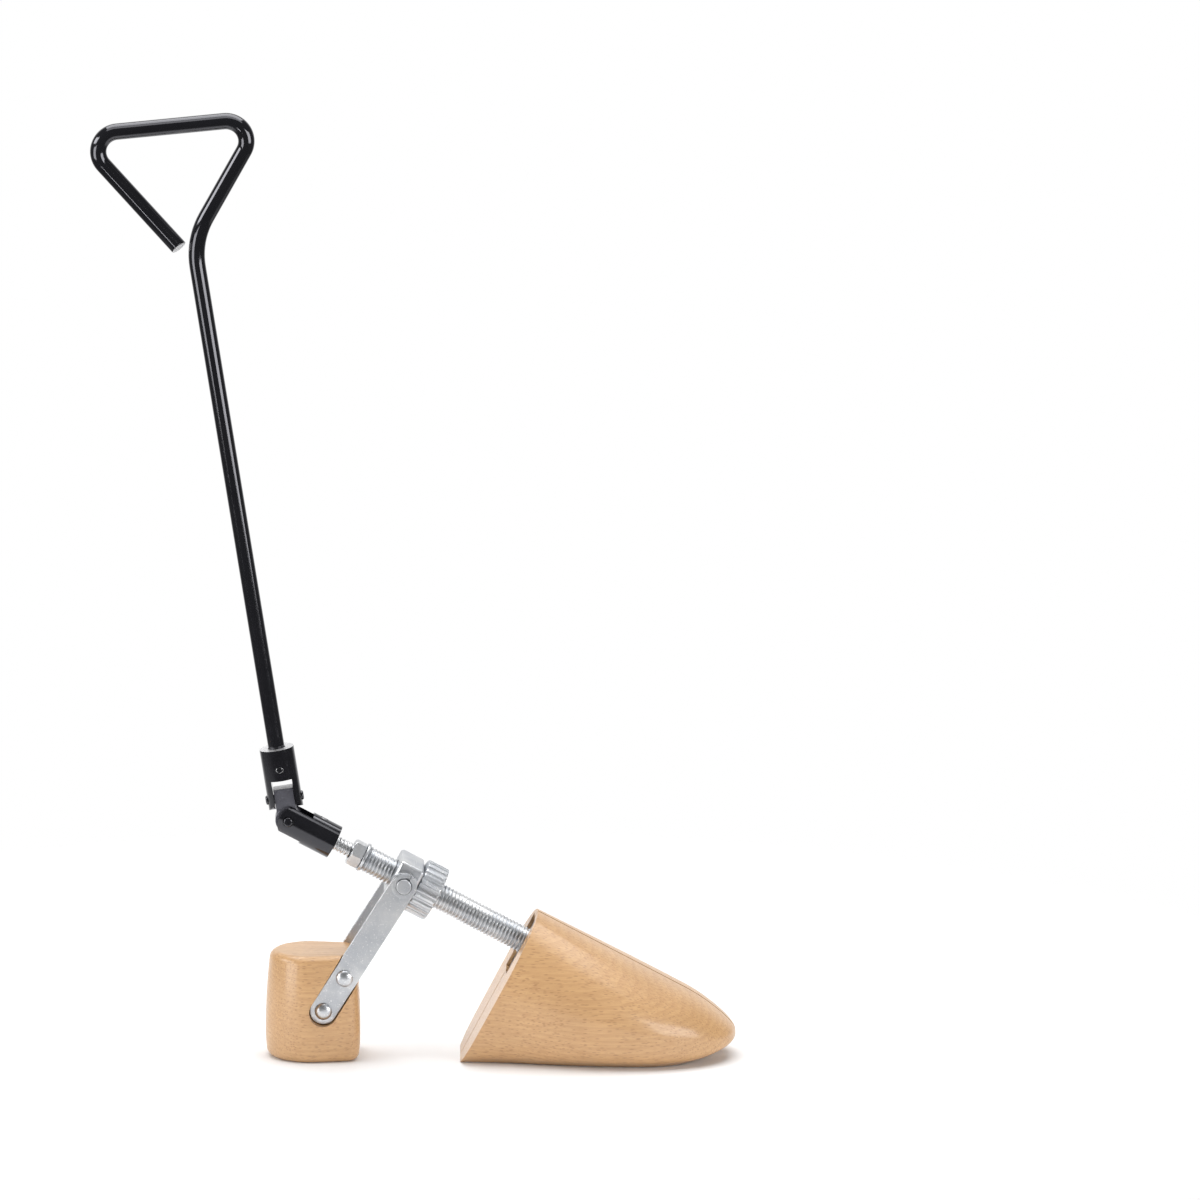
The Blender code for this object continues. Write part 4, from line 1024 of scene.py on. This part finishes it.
REAR_BLOCK_LENGTH = 0.009
FRONT_BLOCK_LENGTH = 0.012
FRONT_BLOCK_WIDTH = 0.016
RAIL_WIDTH = 0.012
RAIL_THICKNESS = 0.003
RAIL_BELOW_TOP = 0.0006
RAIL_OVERLAP = 0.004
TIP_SEAT = 0.003
SPREADER_RIM = 0.0004
GUIDE_PIN_DIAMETER = 0.006
GUIDE_PIN_RIM = 0.0006
SET_SCREW_DIAMETER = 0.004
SET_SCREW_RIM = 0.0003
SOCKET_CORNERS = 0.0023
SOCKET_DEPTH = 0.0018


def make_spreader():
    low, high = extent("spreader_frame", spindle_place)
    half_front = FRONT_BLOCK_WIDTH / 2
    half_rail = RAIL_WIDTH / 2
    front_start = high.x - FRONT_BLOCK_LENGTH
    block((low.x, low.y, low.z), (low.x + REAR_BLOCK_LENGTH, high.y, high.z))
    spreader = name_new("toe_frame")
    cut(spreader, block((front_start, -half_front, -high.z), (high.x, half_front, high.z)), "UNION")
    rail_outside = high.z - RAIL_BELOW_TOP
    rail_inside = rail_outside - RAIL_THICKNESS
    for bottom, top in ((rail_inside, rail_outside), (-rail_outside, -rail_inside)):
        ends = (low.x + RAIL_OVERLAP, front_start + RAIL_OVERLAP)
        rail = block((ends[0], -half_rail, bottom), (ends[1], half_rail, top))
        cut(spreader, rail, "UNION")
    soften(spreader, SPREADER_RIM)
    cut(spreader, rod(tube_clearance, low.x - OVERRUN, low.x + 2 * OVERRUN, "X", sides=96))
    seat_diameter = SPINDLE_DIAMETER + 2 * RUNNING_GAP
    cut(spreader, rod(seat_diameter, front_start - OVERRUN, front_start + TIP_SEAT, "X"))
    for node in ("rear_guide_pin", "front_guide_pin"):
        pin_low, pin_high = extent(node, spindle_place)
        pin_place = ((pin_low.x + pin_high.x) / 2, (pin_low.z + pin_high.z) / 2)
        bore(spreader, GUIDE_PIN_DIAMETER, "Y", pin_place)
    screw_place = (low.x + REAR_BLOCK_LENGTH / 2, 0.0)
    cut(spreader, rod(SET_SCREW_DIAMETER + 2 * RUNNING_GAP, 0.0, NEAR, "Z", screw_place))
    lay_zinc(spreader, spindle_place, "frame", "spreader_frame")


def make_guide_pin(end):
    node = end + "_guide_pin"
    low, high = extent(node, spindle_place)
    place = ((low.x + high.x) / 2, (low.z + high.z) / 2)
    rod(GUIDE_PIN_DIAMETER, low.y, high.y, "Y", place)
    pin = name_new(end + "_cross_rod")
    soften(pin, GUIDE_PIN_RIM)
    lay_zinc(pin, spindle_place, "frame", node)


def make_set_screw():
    """A headless screw with a hexagon socket in its top."""
    low, high = extent("tube_set_screw", spindle_place)
    place = ((low.x + high.x) / 2, 0.0)
    rod(SET_SCREW_DIAMETER, low.z, high.z, "Z", place, 48)
    screw = name_new("headless_screw")
    soften(screw, SET_SCREW_RIM)
    cut(screw, rod(SOCKET_CORNERS, high.z - SOCKET_DEPTH, high.z + OVERRUN, "Z", place, 6))
    paint_all(screw, GREY_STEEL)
    lay(screw, spindle_place, "frame", "dark_steel", "tube_set_screw")


make_spreader()
for end in ("rear", "front"):
    make_guide_pin(end)
make_set_screw()


# Wedge
# A block of hardened steel with two slanting flanks, bored for the spindle, which draws it along. A headed
# stud in each flank pulls the toe halves back together.

WEDGE_ANGLE = math.radians(18.0)
WEDGE_RIM = 0.0005
STUD_NECK = 0.0044
STUD_HEAD_HEIGHT = 0.002
STUD_RIM = 0.0003
STUD_HOLE_REACH = 0.02


def plate_place(side):
    """Stands at the lower pin with X along one of the wedge's flanks and Y square to it."""
    return spindle_place @ Matrix.Rotation(side * WEDGE_ANGLE, 4, "Z")


def make_wedge():
    low, high = extent("wedge", spindle_place)
    narrow = high.y - math.tan(WEDGE_ANGLE) * (high.x - low.x)
    block(low, high)
    wedge = name_new("spreading_wedge")
    edit(wedge)
    pick(wedge, "faces", lambda face: face.normal.x < -0.9)
    bpy.ops.transform.resize(value=(1.0, narrow / high.y, 1.0), center_override=(0.0, 0.0, 0.0))
    leave_edit()
    soften(wedge, WEDGE_RIM)
    bore(wedge, SPINDLE_DIAMETER, "X", ends=(low.x - OVERRUN, high.x + OVERRUN))
    for hand, side in HANDS.items():
        stud_low, stud_high = extent(hand + "_wedge_stud", plate_place(side))
        root = stud_low.y if side > 0 else stud_high.y
        ends = sorted((root - side * RUNNING_GAP, root + side * STUD_HOLE_REACH))
        hole_place = ((stud_low.x + stud_high.x) / 2, 0.0)
        hole = rod(STUD_NECK + 2 * RUNNING_GAP, *ends, "Y", hole_place, 32)
        cut(wedge, set_in(hole, Matrix.Rotation(side * WEDGE_ANGLE, 4, "Z")))
    paint_all(wedge, GREY_STEEL)
    lay(wedge, spindle_place, "wedge", "dark_steel", "wedge")


def make_stud(hand):
    side = HANDS[hand]
    node = hand + "_wedge_stud"
    place = plate_place(side)
    low, high = extent(node, place)
    middle_place = ((low.x + high.x) / 2, 0.0)
    rod(STUD_NECK, low.y, high.y, "Y", middle_place, 40)
    stud = name_new(hand + "_headed_stud")
    head_ends = (high.y - STUD_HEAD_HEIGHT, high.y) if side > 0 else (low.y, low.y + STUD_HEAD_HEIGHT)
    head = rod(high.x - low.x, *head_ends, "Y", middle_place, 56)
    cut(stud, head, "UNION")
    soften(stud, STUD_RIM)
    paint_all(stud, GREY_STEEL)
    lay(stud, place, "wedge", "dark_steel", node)


make_wedge()
for hand in HANDS:
    make_stud(hand)


# Wear plates
# A hardened steel plate let into each toe half behind a flank of the wedge, with a slot that the stud's neck
# runs in. Two countersunk wood screws hold it.

SCREW_SHANK = 0.0035
SCREW_HEAD = 0.0064
SCREW_PITCH = 0.0014
SCREW_POINT = 0.002
POINT_RADIUS = 0.0001
SCREW_THREAD_DEPTH = 0.0005
SCREW_THREAD_STOP = 0.0002
SCREW_HEAD_ROOT = 0.0004
SCREW_SLOT_WIDTH = 0.0008
SCREW_SLOT_DEPTH = 0.0011
PLATE_END_WALL = 0.0027
PLATE_RIM = 0.0004


def make_plate(hand):
    side = HANDS[hand]
    node = hand + "_wear_plate"
    place = plate_place(side)
    low, high = extent(node, place)
    block(low, high)
    plate = name_new(hand + "_hard_plate")
    soften(plate, PLATE_RIM)
    half_slot = STUD_NECK / 2 + RUNNING_GAP
    slot = block(
        (low.x + PLATE_END_WALL, low.y - OVERRUN, -half_slot),
        (high.x - PLATE_END_WALL, high.y + OVERRUN, half_slot),
    )
    edit(slot)
    pick(slot, "edges", lambda edge: runs_along(edge, 1))
    bpy.ops.mesh.bevel(offset=half_slot - TOUCH, segments=10, affect="EDGES")
    leave_edit()
    cut(plate, slot)
    inside = low.y if side > 0 else high.y
    for level in ("_upper", "_lower"):
        spot = sum(extent(hand + level + "_plate_screw", place), Vector()) / 2
        bore(plate, SCREW_SHANK, "Y", (spot.x, spot.z), 40, ends=(inside - OVERRUN, inside + OVERRUN))
        cut(plate, countersink(Vector((spot.x, inside, spot.z)), side))
        make_plate_screw(hand, level)
    paint_all(plate, GREY_STEEL)
    lay(plate, place, hand + "_half", "dark_steel", node)


def cone(lower, upper, depth, place, turn=(0.0, 0.0, 0.0), sides=56):
    """A new cone about its middle, between its lower and its upper radius."""
    bpy.ops.mesh.primitive_cone_add(
        vertices=sides, radius1=lower, radius2=upper, depth=depth, location=place, rotation=turn
    )
    settle()
    return bpy.context.object


def countersink(seat, side, spare=0.001):
    """A cone that opens towards the wedge, with its wide end at a plate's inner face."""
    wide = SCREW_HEAD / 2 + RUNNING_GAP
    narrow = SCREW_SHANK / 2
    place = seat + Vector((0.0, side * (wide - narrow - spare) / 2, 0.0))
    return cone(wide + spare, narrow, wide + spare - narrow, place, (-side * math.pi / 2, 0.0, 0.0))


def make_plate_screw(hand, level):
    """Its own Z runs from the point to the slotted head."""
    side = HANDS[hand]
    node = hand + level + "_plate_screw"
    place = plate_place(side)
    low, high = extent(node, place)
    length = high.y - low.y
    shank = SCREW_SHANK / 2
    depth = (SCREW_HEAD - SCREW_SHANK) / 2 + SCREW_HEAD_ROOT
    name = hand + level + "_wood_screw"
    thread_end = length - SCREW_THREAD_STOP
    screw = make_thread(name, SCREW_SHANK, SCREW_THREAD_DEPTH, 0.0, thread_end, SCREW_PITCH)
    point_place = (0.0, 0.0, SCREW_POINT / 2)
    point = cone(POINT_RADIUS, shank + POINT_RADIUS, SCREW_POINT, point_place, sides=40)
    cut(point, rod(SCREW_HEAD, SCREW_POINT - TOUCH, length + OVERRUN), "UNION")
    cut(screw, point, "INTERSECT")
    head_place = (0.0, 0.0, length - depth / 2)
    cut(screw, cone(shank - SCREW_HEAD_ROOT, SCREW_HEAD / 2, depth, head_place), "UNION")
    half_slot = SCREW_SLOT_WIDTH / 2
    slot_floor = length - SCREW_SLOT_DEPTH
    cut(screw, block((-OVERRUN, -half_slot, slot_floor), (OVERRUN, half_slot, length + OVERRUN)))
    spot = (low + high) / 2
    tip = high.y if side > 0 else low.y
    stand = Matrix.Translation((spot.x, tip, spot.z)) @ Matrix.Rotation(side * math.pi / 2, 4, "X")
    lay_zinc(screw, place @ stand, hand + "_half", node)


for hand in HANDS:
    make_plate(hand)


# Guide bushes
# Turned brass sleeves pressed into the wood, which run on the guide pins and keep the two halves square.

BRASS = make_metal(
    "bush_brass", dark=(0.60, 0.42, 0.17), light=(0.78, 0.60, 0.29), scratched=(0.86, 0.70, 0.38),
    rough=0.38, smooth=0.24, scratch_depth=0.00002,
)


BUSH_RIM = 0.0002


def make_bush(hand, end):
    node = hand + "_" + end + "_guide_bush"
    low, high = extent(node, spindle_place)
    diameter = high.x - low.x
    bore_diameter = GUIDE_PIN_DIAMETER + 2 * RUNNING_GAP
    name = hand + "_" + end + "_brass_sleeve"
    bush = make_ring(name, diameter, bore_diameter, -high.y, -low.y, 56, BUSH_RIM)
    paint_all(bush, BRASS)
    middle_place = Matrix.Translation(((low.x + high.x) / 2, 0.0, (low.z + high.z) / 2))
    lay(bush, spindle_place @ middle_place @ ALONG_LEFT, hand + "_half", "brass", node)


for end in ("rear", "front"):
    for hand in HANDS:
        make_bush(hand, end)


# Toe halves
# A beech last, copy-turned whole, then sawn down the middle and milled out inside for the frame, the wedge
# and the guide pins. The sawn and milled faces are a shade darker than the outside.

SPLIT_GAP = 0.0015
WAIST_WIDTH = 0.060
BALL_TO_TIP = 0.064
TOE_WIDEST = 0.36
NOSE_LENGTH = 0.028
NOSE_HEIGHT = 0.012
TOE_SPRING = 0.006
TOE_SPRING_LENGTH = 0.046
SOLE_SOFTNESS = 0.002
REAR_OVERRUN = 0.006
PLAN_POWER = 2.2
NOSE_POWER = 2.4
UPPER_POWER = 2.2
SOLE_POWER = 4.5
STATIONS = 72
SECTION_STEPS = 96
STATION_SHARE_TO_BALL = 0.4
TOE_EDGE = 0.0012
POCKET_REACH = 0.03
WEDGE_WAY_OUT = 0.012
STUD_SLIDE = 0.0252
PIN_END_ROOM = 0.001

toe_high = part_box("left_toe_half")[1]
toe_along = extent("left_toe_half", spindle_place)
face_point = spindle_place @ Vector((toe_along[0].x, 0.0, 0.0))
crown_point = spindle_place @ Vector((toe_along[0].x, 0.0, toe_along[1].z))
spindle_slope = -spindle_way.z / spindle_way.x
rear_bottom_x = face_point.x - face_point.z * spindle_slope
tip_x = toe_high.x
ball_x = tip_x - BALL_TO_TIP
ball_half_width = toe_high.y


def rounding_off(share, power):
    """From 1 down to 0 along a quarter of a squarish ellipse."""
    return max(0.0, 1 - share**power) ** (1 / power)


def toe_half_width(x):
    if x < ball_x:
        share = min((ball_x - x) / (ball_x - rear_bottom_x), 1.0)
        return ball_half_width - (2 * ball_half_width - WAIST_WIDTH) / 4 * (1 - math.cos(math.pi * share))
    return ball_half_width * rounding_off(min((x - ball_x) / BALL_TO_TIP, 1.0), PLAN_POWER)


def toe_heights(x):
    """The bottom and the crown of the last at a station: the crown runs beside the spindle."""
    crown = crown_point.z - (x - crown_point.x) * spindle_slope
    spring_share = max(0.0, (x - tip_x + TOE_SPRING_LENGTH) / TOE_SPRING_LENGTH)
    bottom = TOE_SPRING * spring_share**2
    nose_share = min((x - tip_x + NOSE_LENGTH) / NOSE_LENGTH, 1.0)
    if nose_share > 0:
        fullness = rounding_off(nose_share, NOSE_POWER)
        crown = NOSE_HEIGHT + (crown - NOSE_HEIGHT) * fullness
        bottom = NOSE_HEIGHT + (bottom - NOSE_HEIGHT) * fullness
    return bottom, crown


def toe_point(length_share, round_share):
    """A point of the last's skin: a share of its length, and a share of the way round from the sole."""
    if length_share < STATION_SHARE_TO_BALL:
        start = rear_bottom_x - REAR_OVERRUN
        x = start + (ball_x - start) * length_share / STATION_SHARE_TO_BALL
    else:
        share = (length_share - STATION_SHARE_TO_BALL) / (1 - STATION_SHARE_TO_BALL)
        x = ball_x + BALL_TO_TIP * math.sin(math.pi / 2 * share)
    bottom, crown = toe_heights(x)
    widest = bottom + TOE_WIDEST * (crown - bottom)
    angle = -math.pi / 2 + 2 * math.pi * round_share
    rise = math.sin(angle)
    power = 2 / (UPPER_POWER if rise > 0 else SOLE_POWER)
    height = widest + (crown - widest if rise > 0 else bottom - widest) * abs(rise) ** power
    width = toe_half_width(x) * abs(math.cos(angle)) ** power
    if height < SOLE_SOFTNESS:
        height = SOLE_SOFTNESS * (max(height, 0.0) / SOLE_SOFTNESS) ** 3
    return Vector((x, math.copysign(width, math.cos(angle)), height))


def make_last():
    """The whole last: a flat grid whose one way runs along it and whose other way is rolled round it."""
    bpy.ops.mesh.primitive_grid_add(x_subdivisions=STATIONS, y_subdivisions=SECTION_STEPS, size=1.0)
    last = name_new("whole_last")
    edit(last)
    shape = bmesh.from_edit_mesh(last.data)
    for vertex in shape.verts:
        vertex.co = toe_point(vertex.co.x + 0.5, vertex.co.y + 0.5)
    bmesh.update_edit_mesh(last.data)
    pick_all()
    bpy.ops.mesh.remove_doubles(threshold=TOUCH)
    pick(last, "edges", lambda edge: edge.is_boundary)
    bpy.ops.mesh.edge_face_add()
    pick_all()
    bpy.ops.mesh.normals_make_consistent(inside=False)
    saw(face_point, spindle_way)
    leave_edit()
    return last


def toe_pockets(hand):
    """Cutters, and their places, for all that is milled out of one half: for the frame, the wear plate, the
    way of the wedge's flank, the stud's head behind the plate, the screws, the bushes and the guide pins."""
    gap = RUNNING_GAP
    steel_low, steel_high = extent("spreader_frame", spindle_place)
    rear_end = steel_low.x + REAR_BLOCK_LENGTH + gap
    half_rear = steel_high.y + gap
    half_spine = FRONT_BLOCK_WIDTH / 2 + gap
    top = steel_high.z + gap
    rear_low = (steel_low.x - OVERRUN, -half_rear, steel_low.z - gap)
    yield block(rear_low, (rear_end, half_rear, top + gap)), spindle_place
    yield block((steel_low.x, -half_spine, -top), (steel_high.x + gap, half_spine, top)), spindle_place
    side = HANDS[hand]
    place = plate_place(side)
    low, high = extent(hand + "_wear_plate", place)
    inside, outside = (low.y, high.y) if side > 0 else (high.y, low.y)
    stud_low, stud_high = extent(hand + "_wedge_stud", place)
    head_room = outside + side * (STUD_HEAD_HEIGHT + 4 * gap)
    groove = (stud_low.x - STUD_SLIDE - 2 * gap, stud_high.x + 2 * gap)
    for start, end, depth, bottom, ceiling in (
        (low.x - gap, high.x + gap, outside + side * gap, low.z, high.z),
        (low.x - WEDGE_WAY_OUT, high.x + gap, inside, low.z, high.z),
        (*groove, head_room, stud_low.z, stud_high.z),
    ):
        near, far = sorted((inside - side * POCKET_REACH, depth))
        yield block((start, near, bottom - gap), (end, far, ceiling + gap)), place
    for level in ("_upper_plate_screw", "_lower_plate_screw"):
        screw_low, screw_high = extent(hand + level, place)
        spot = (screw_low + screw_high) / 2
        ends = (screw_low.y - 2 * gap, screw_high.y + 2 * gap)
        yield rod(SCREW_SHANK + 2 * gap, *ends, "Y", (spot.x, spot.z), 32), place
    for end in ("rear", "front"):
        bush_low, bush_high = extent(hand + "_" + end + "_guide_bush", spindle_place)
        pin_low, pin_high = extent(end + "_guide_pin", spindle_place)
        spot = (bush_low + bush_high) / 2
        bush_bore = bush_high.x - bush_low.x + 2 * gap
        pin_bore = GUIDE_PIN_DIAMETER + 4 * gap
        if side > 0:
            bush_ends, pin_ends = (-OVERRUN, bush_high.y + gap), (-OVERRUN, pin_high.y + PIN_END_ROOM)
        else:
            bush_ends, pin_ends = (bush_low.y - gap, OVERRUN), (pin_low.y - PIN_END_ROOM, OVERRUN)
        yield rod(bush_bore, *bush_ends, "Y", (spot.x, spot.z), 56), spindle_place
        yield rod(pin_bore, *pin_ends, "Y", (spot.x, spot.z), 40), spindle_place


def make_toe_half(last, hand):
    side = HANDS[hand]
    half = last.copy()
    half.data = last.data.copy()
    bpy.context.scene.collection.objects.link(half)
    make_active(half)
    name_new(hand + "_toe_wood")
    paint_all(half, BEECH, SAWN_BEECH)
    edit(half)
    pick_all()
    saw((0.0, side * SPLIT_GAP / 2, 0.0), (0.0, side, 0.0))
    pick(
        half, "faces",
        lambda face: face.normal.y * side < -0.99 and abs(face.calc_center_median().y) < SPLIT_GAP,
    )
    leave_edit()
    paint_faces(half, 1, lambda face: face.select)
    soften(half, TOE_EDGE, segments=4, angle=50.0)
    for pocket, place in toe_pockets(hand):
        paint_all(pocket, SAWN_BEECH)
        cut(half, set_in(pocket, place))
    lay(half, Matrix.Identity(4), hand + "_half", "varnished_beech", hand + "_toe_half")


whole_last = make_last()
for hand in HANDS:
    make_toe_half(whole_last, hand)
bpy.data.objects.remove(whole_last, do_unlink=True)


# Studio
# A long lens looks down a little on the tool, which stands on a pale floor against white. Soft boxes on both
# sides and overhead give the painted bar its two long highlights.

CAMERA_RISE = math.radians(13.0)
CAMERA_DISTANCE = 30.0
VIEW_WIDTH = 0.6312
VIEW_CENTRE = (0.1642, 0.0, 0.2455)
SENSOR_WIDTH = 0.036
FLOOR_CENTRE = (0.07, 0.0, 0.0)
FLOOR_RADIUS = 0.55


def make_camera():
    lens = bpy.data.cameras.new("camera")
    lens.sensor_width = SENSOR_WIDTH * 1000
    lens.lens = 1000 * SENSOR_WIDTH * CAMERA_DISTANCE / VIEW_WIDTH
    lens.clip_start = 1.0
    lens.clip_end = 100.0
    camera = bpy.data.objects.new("camera", lens)
    bpy.context.scene.collection.objects.link(camera)
    back = Vector((0.0, -math.cos(CAMERA_RISE), math.sin(CAMERA_RISE)))
    camera.location = Vector(VIEW_CENTRE) + back * CAMERA_DISTANCE
    camera.rotation_euler = (math.pi / 2 - CAMERA_RISE, 0.0, 0.0)
    bpy.context.scene.camera = camera


def make_soft_box(name, place, aim, size, power):
    light = bpy.data.lights.new(name, "AREA")
    light.shape = "RECTANGLE"
    light.size, light.size_y = size
    light.energy = power
    lamp = bpy.data.objects.new(name, light)
    bpy.context.scene.collection.objects.link(lamp)
    lamp.location = place
    lamp.rotation_euler = (Vector(aim) - Vector(place)).to_track_quat("-Z", "Y").to_euler()


def make_floor():
    """A wide pale floor that fades out, far from the tool, into the white behind it."""
    bpy.ops.mesh.primitive_circle_add(
        vertices=64, radius=FLOOR_RADIUS, fill_type="NGON", location=FLOOR_CENTRE
    )
    floor = name_new("floor")
    settle()
    material = bpy.data.materials.new("pale_floor")
    material.use_nodes = True
    tree = material.node_tree
    shader = tree.nodes["Principled BSDF"]
    shader.inputs["Base Color"].default_value = (0.86, 0.86, 0.865, 1.0)
    shader.inputs["Roughness"].default_value = 0.85
    shader.inputs["Specular IOR Level"].default_value = 0.1
    place = add_node(tree, "ShaderNodeTexCoord").outputs["Object"]
    away = add_node(tree, "ShaderNodeVectorMath", {0: place, 1: FLOOR_CENTRE}, operation="DISTANCE")
    seen = mask(tree, away.outputs["Value"], 0.30, 0.52, 1.0, 0.0)
    tree.links.new(seen, shader.inputs["Alpha"])
    paint_all(floor, material)


def make_world():
    """White behind the tool and for the lens; a dimmer room on the lens's own side."""
    world = bpy.data.worlds.new("studio")
    world.use_nodes = True
    tree = world.node_tree
    room = tree.nodes["Background"]
    place = add_node(tree, "ShaderNodeTexCoord").outputs["Generated"]
    axes = add_node(tree, "ShaderNodeSeparateXYZ", {0: place})
    depth = mask(tree, axes.outputs["Y"], 0.5, 0.85, 0.13, 1.0)
    seen = add_node(tree, "ShaderNodeLightPath").outputs["Is Camera Ray"]
    tree.links.new(reckoned(tree, "MAXIMUM", depth, seen), room.inputs["Strength"])
    room.inputs["Color"].default_value = (1.0, 1.0, 1.0, 1.0)
    bpy.context.scene.world = world


make_camera()
make_soft_box("left_strip", (-1.32, -0.95, 0.145), (0.0, 0.0, 0.145), (0.9, 0.70), 9.5)
make_soft_box("right_strip", (1.19, -1.05, 0.47), (0.0, 0.0, 0.47), (1.0, 0.70), 13.0)
make_soft_box("far_left_box", (-1.5, -0.36, 0.95), (-0.03, 0.0, 0.42), (1.1, 0.45), 12.0)
make_soft_box("top_box", (0.1, 0.42, 1.6), (0.08, 0.1, 0.1), (1.8, 1.1), 28.0)
make_soft_box("top_front_box", (0.1, -0.40, 1.52), (0.08, 0.0, 0.3), (1.8, 0.5), 6.0)
make_soft_box("low_front_box", (-1.58, -5.1, -2.32), (-0.08, 0.0, 0.467), (0.5, 0.5), 8.0)
make_floor()
make_world()
bpy.context.scene.view_settings.view_transform = "Standard"
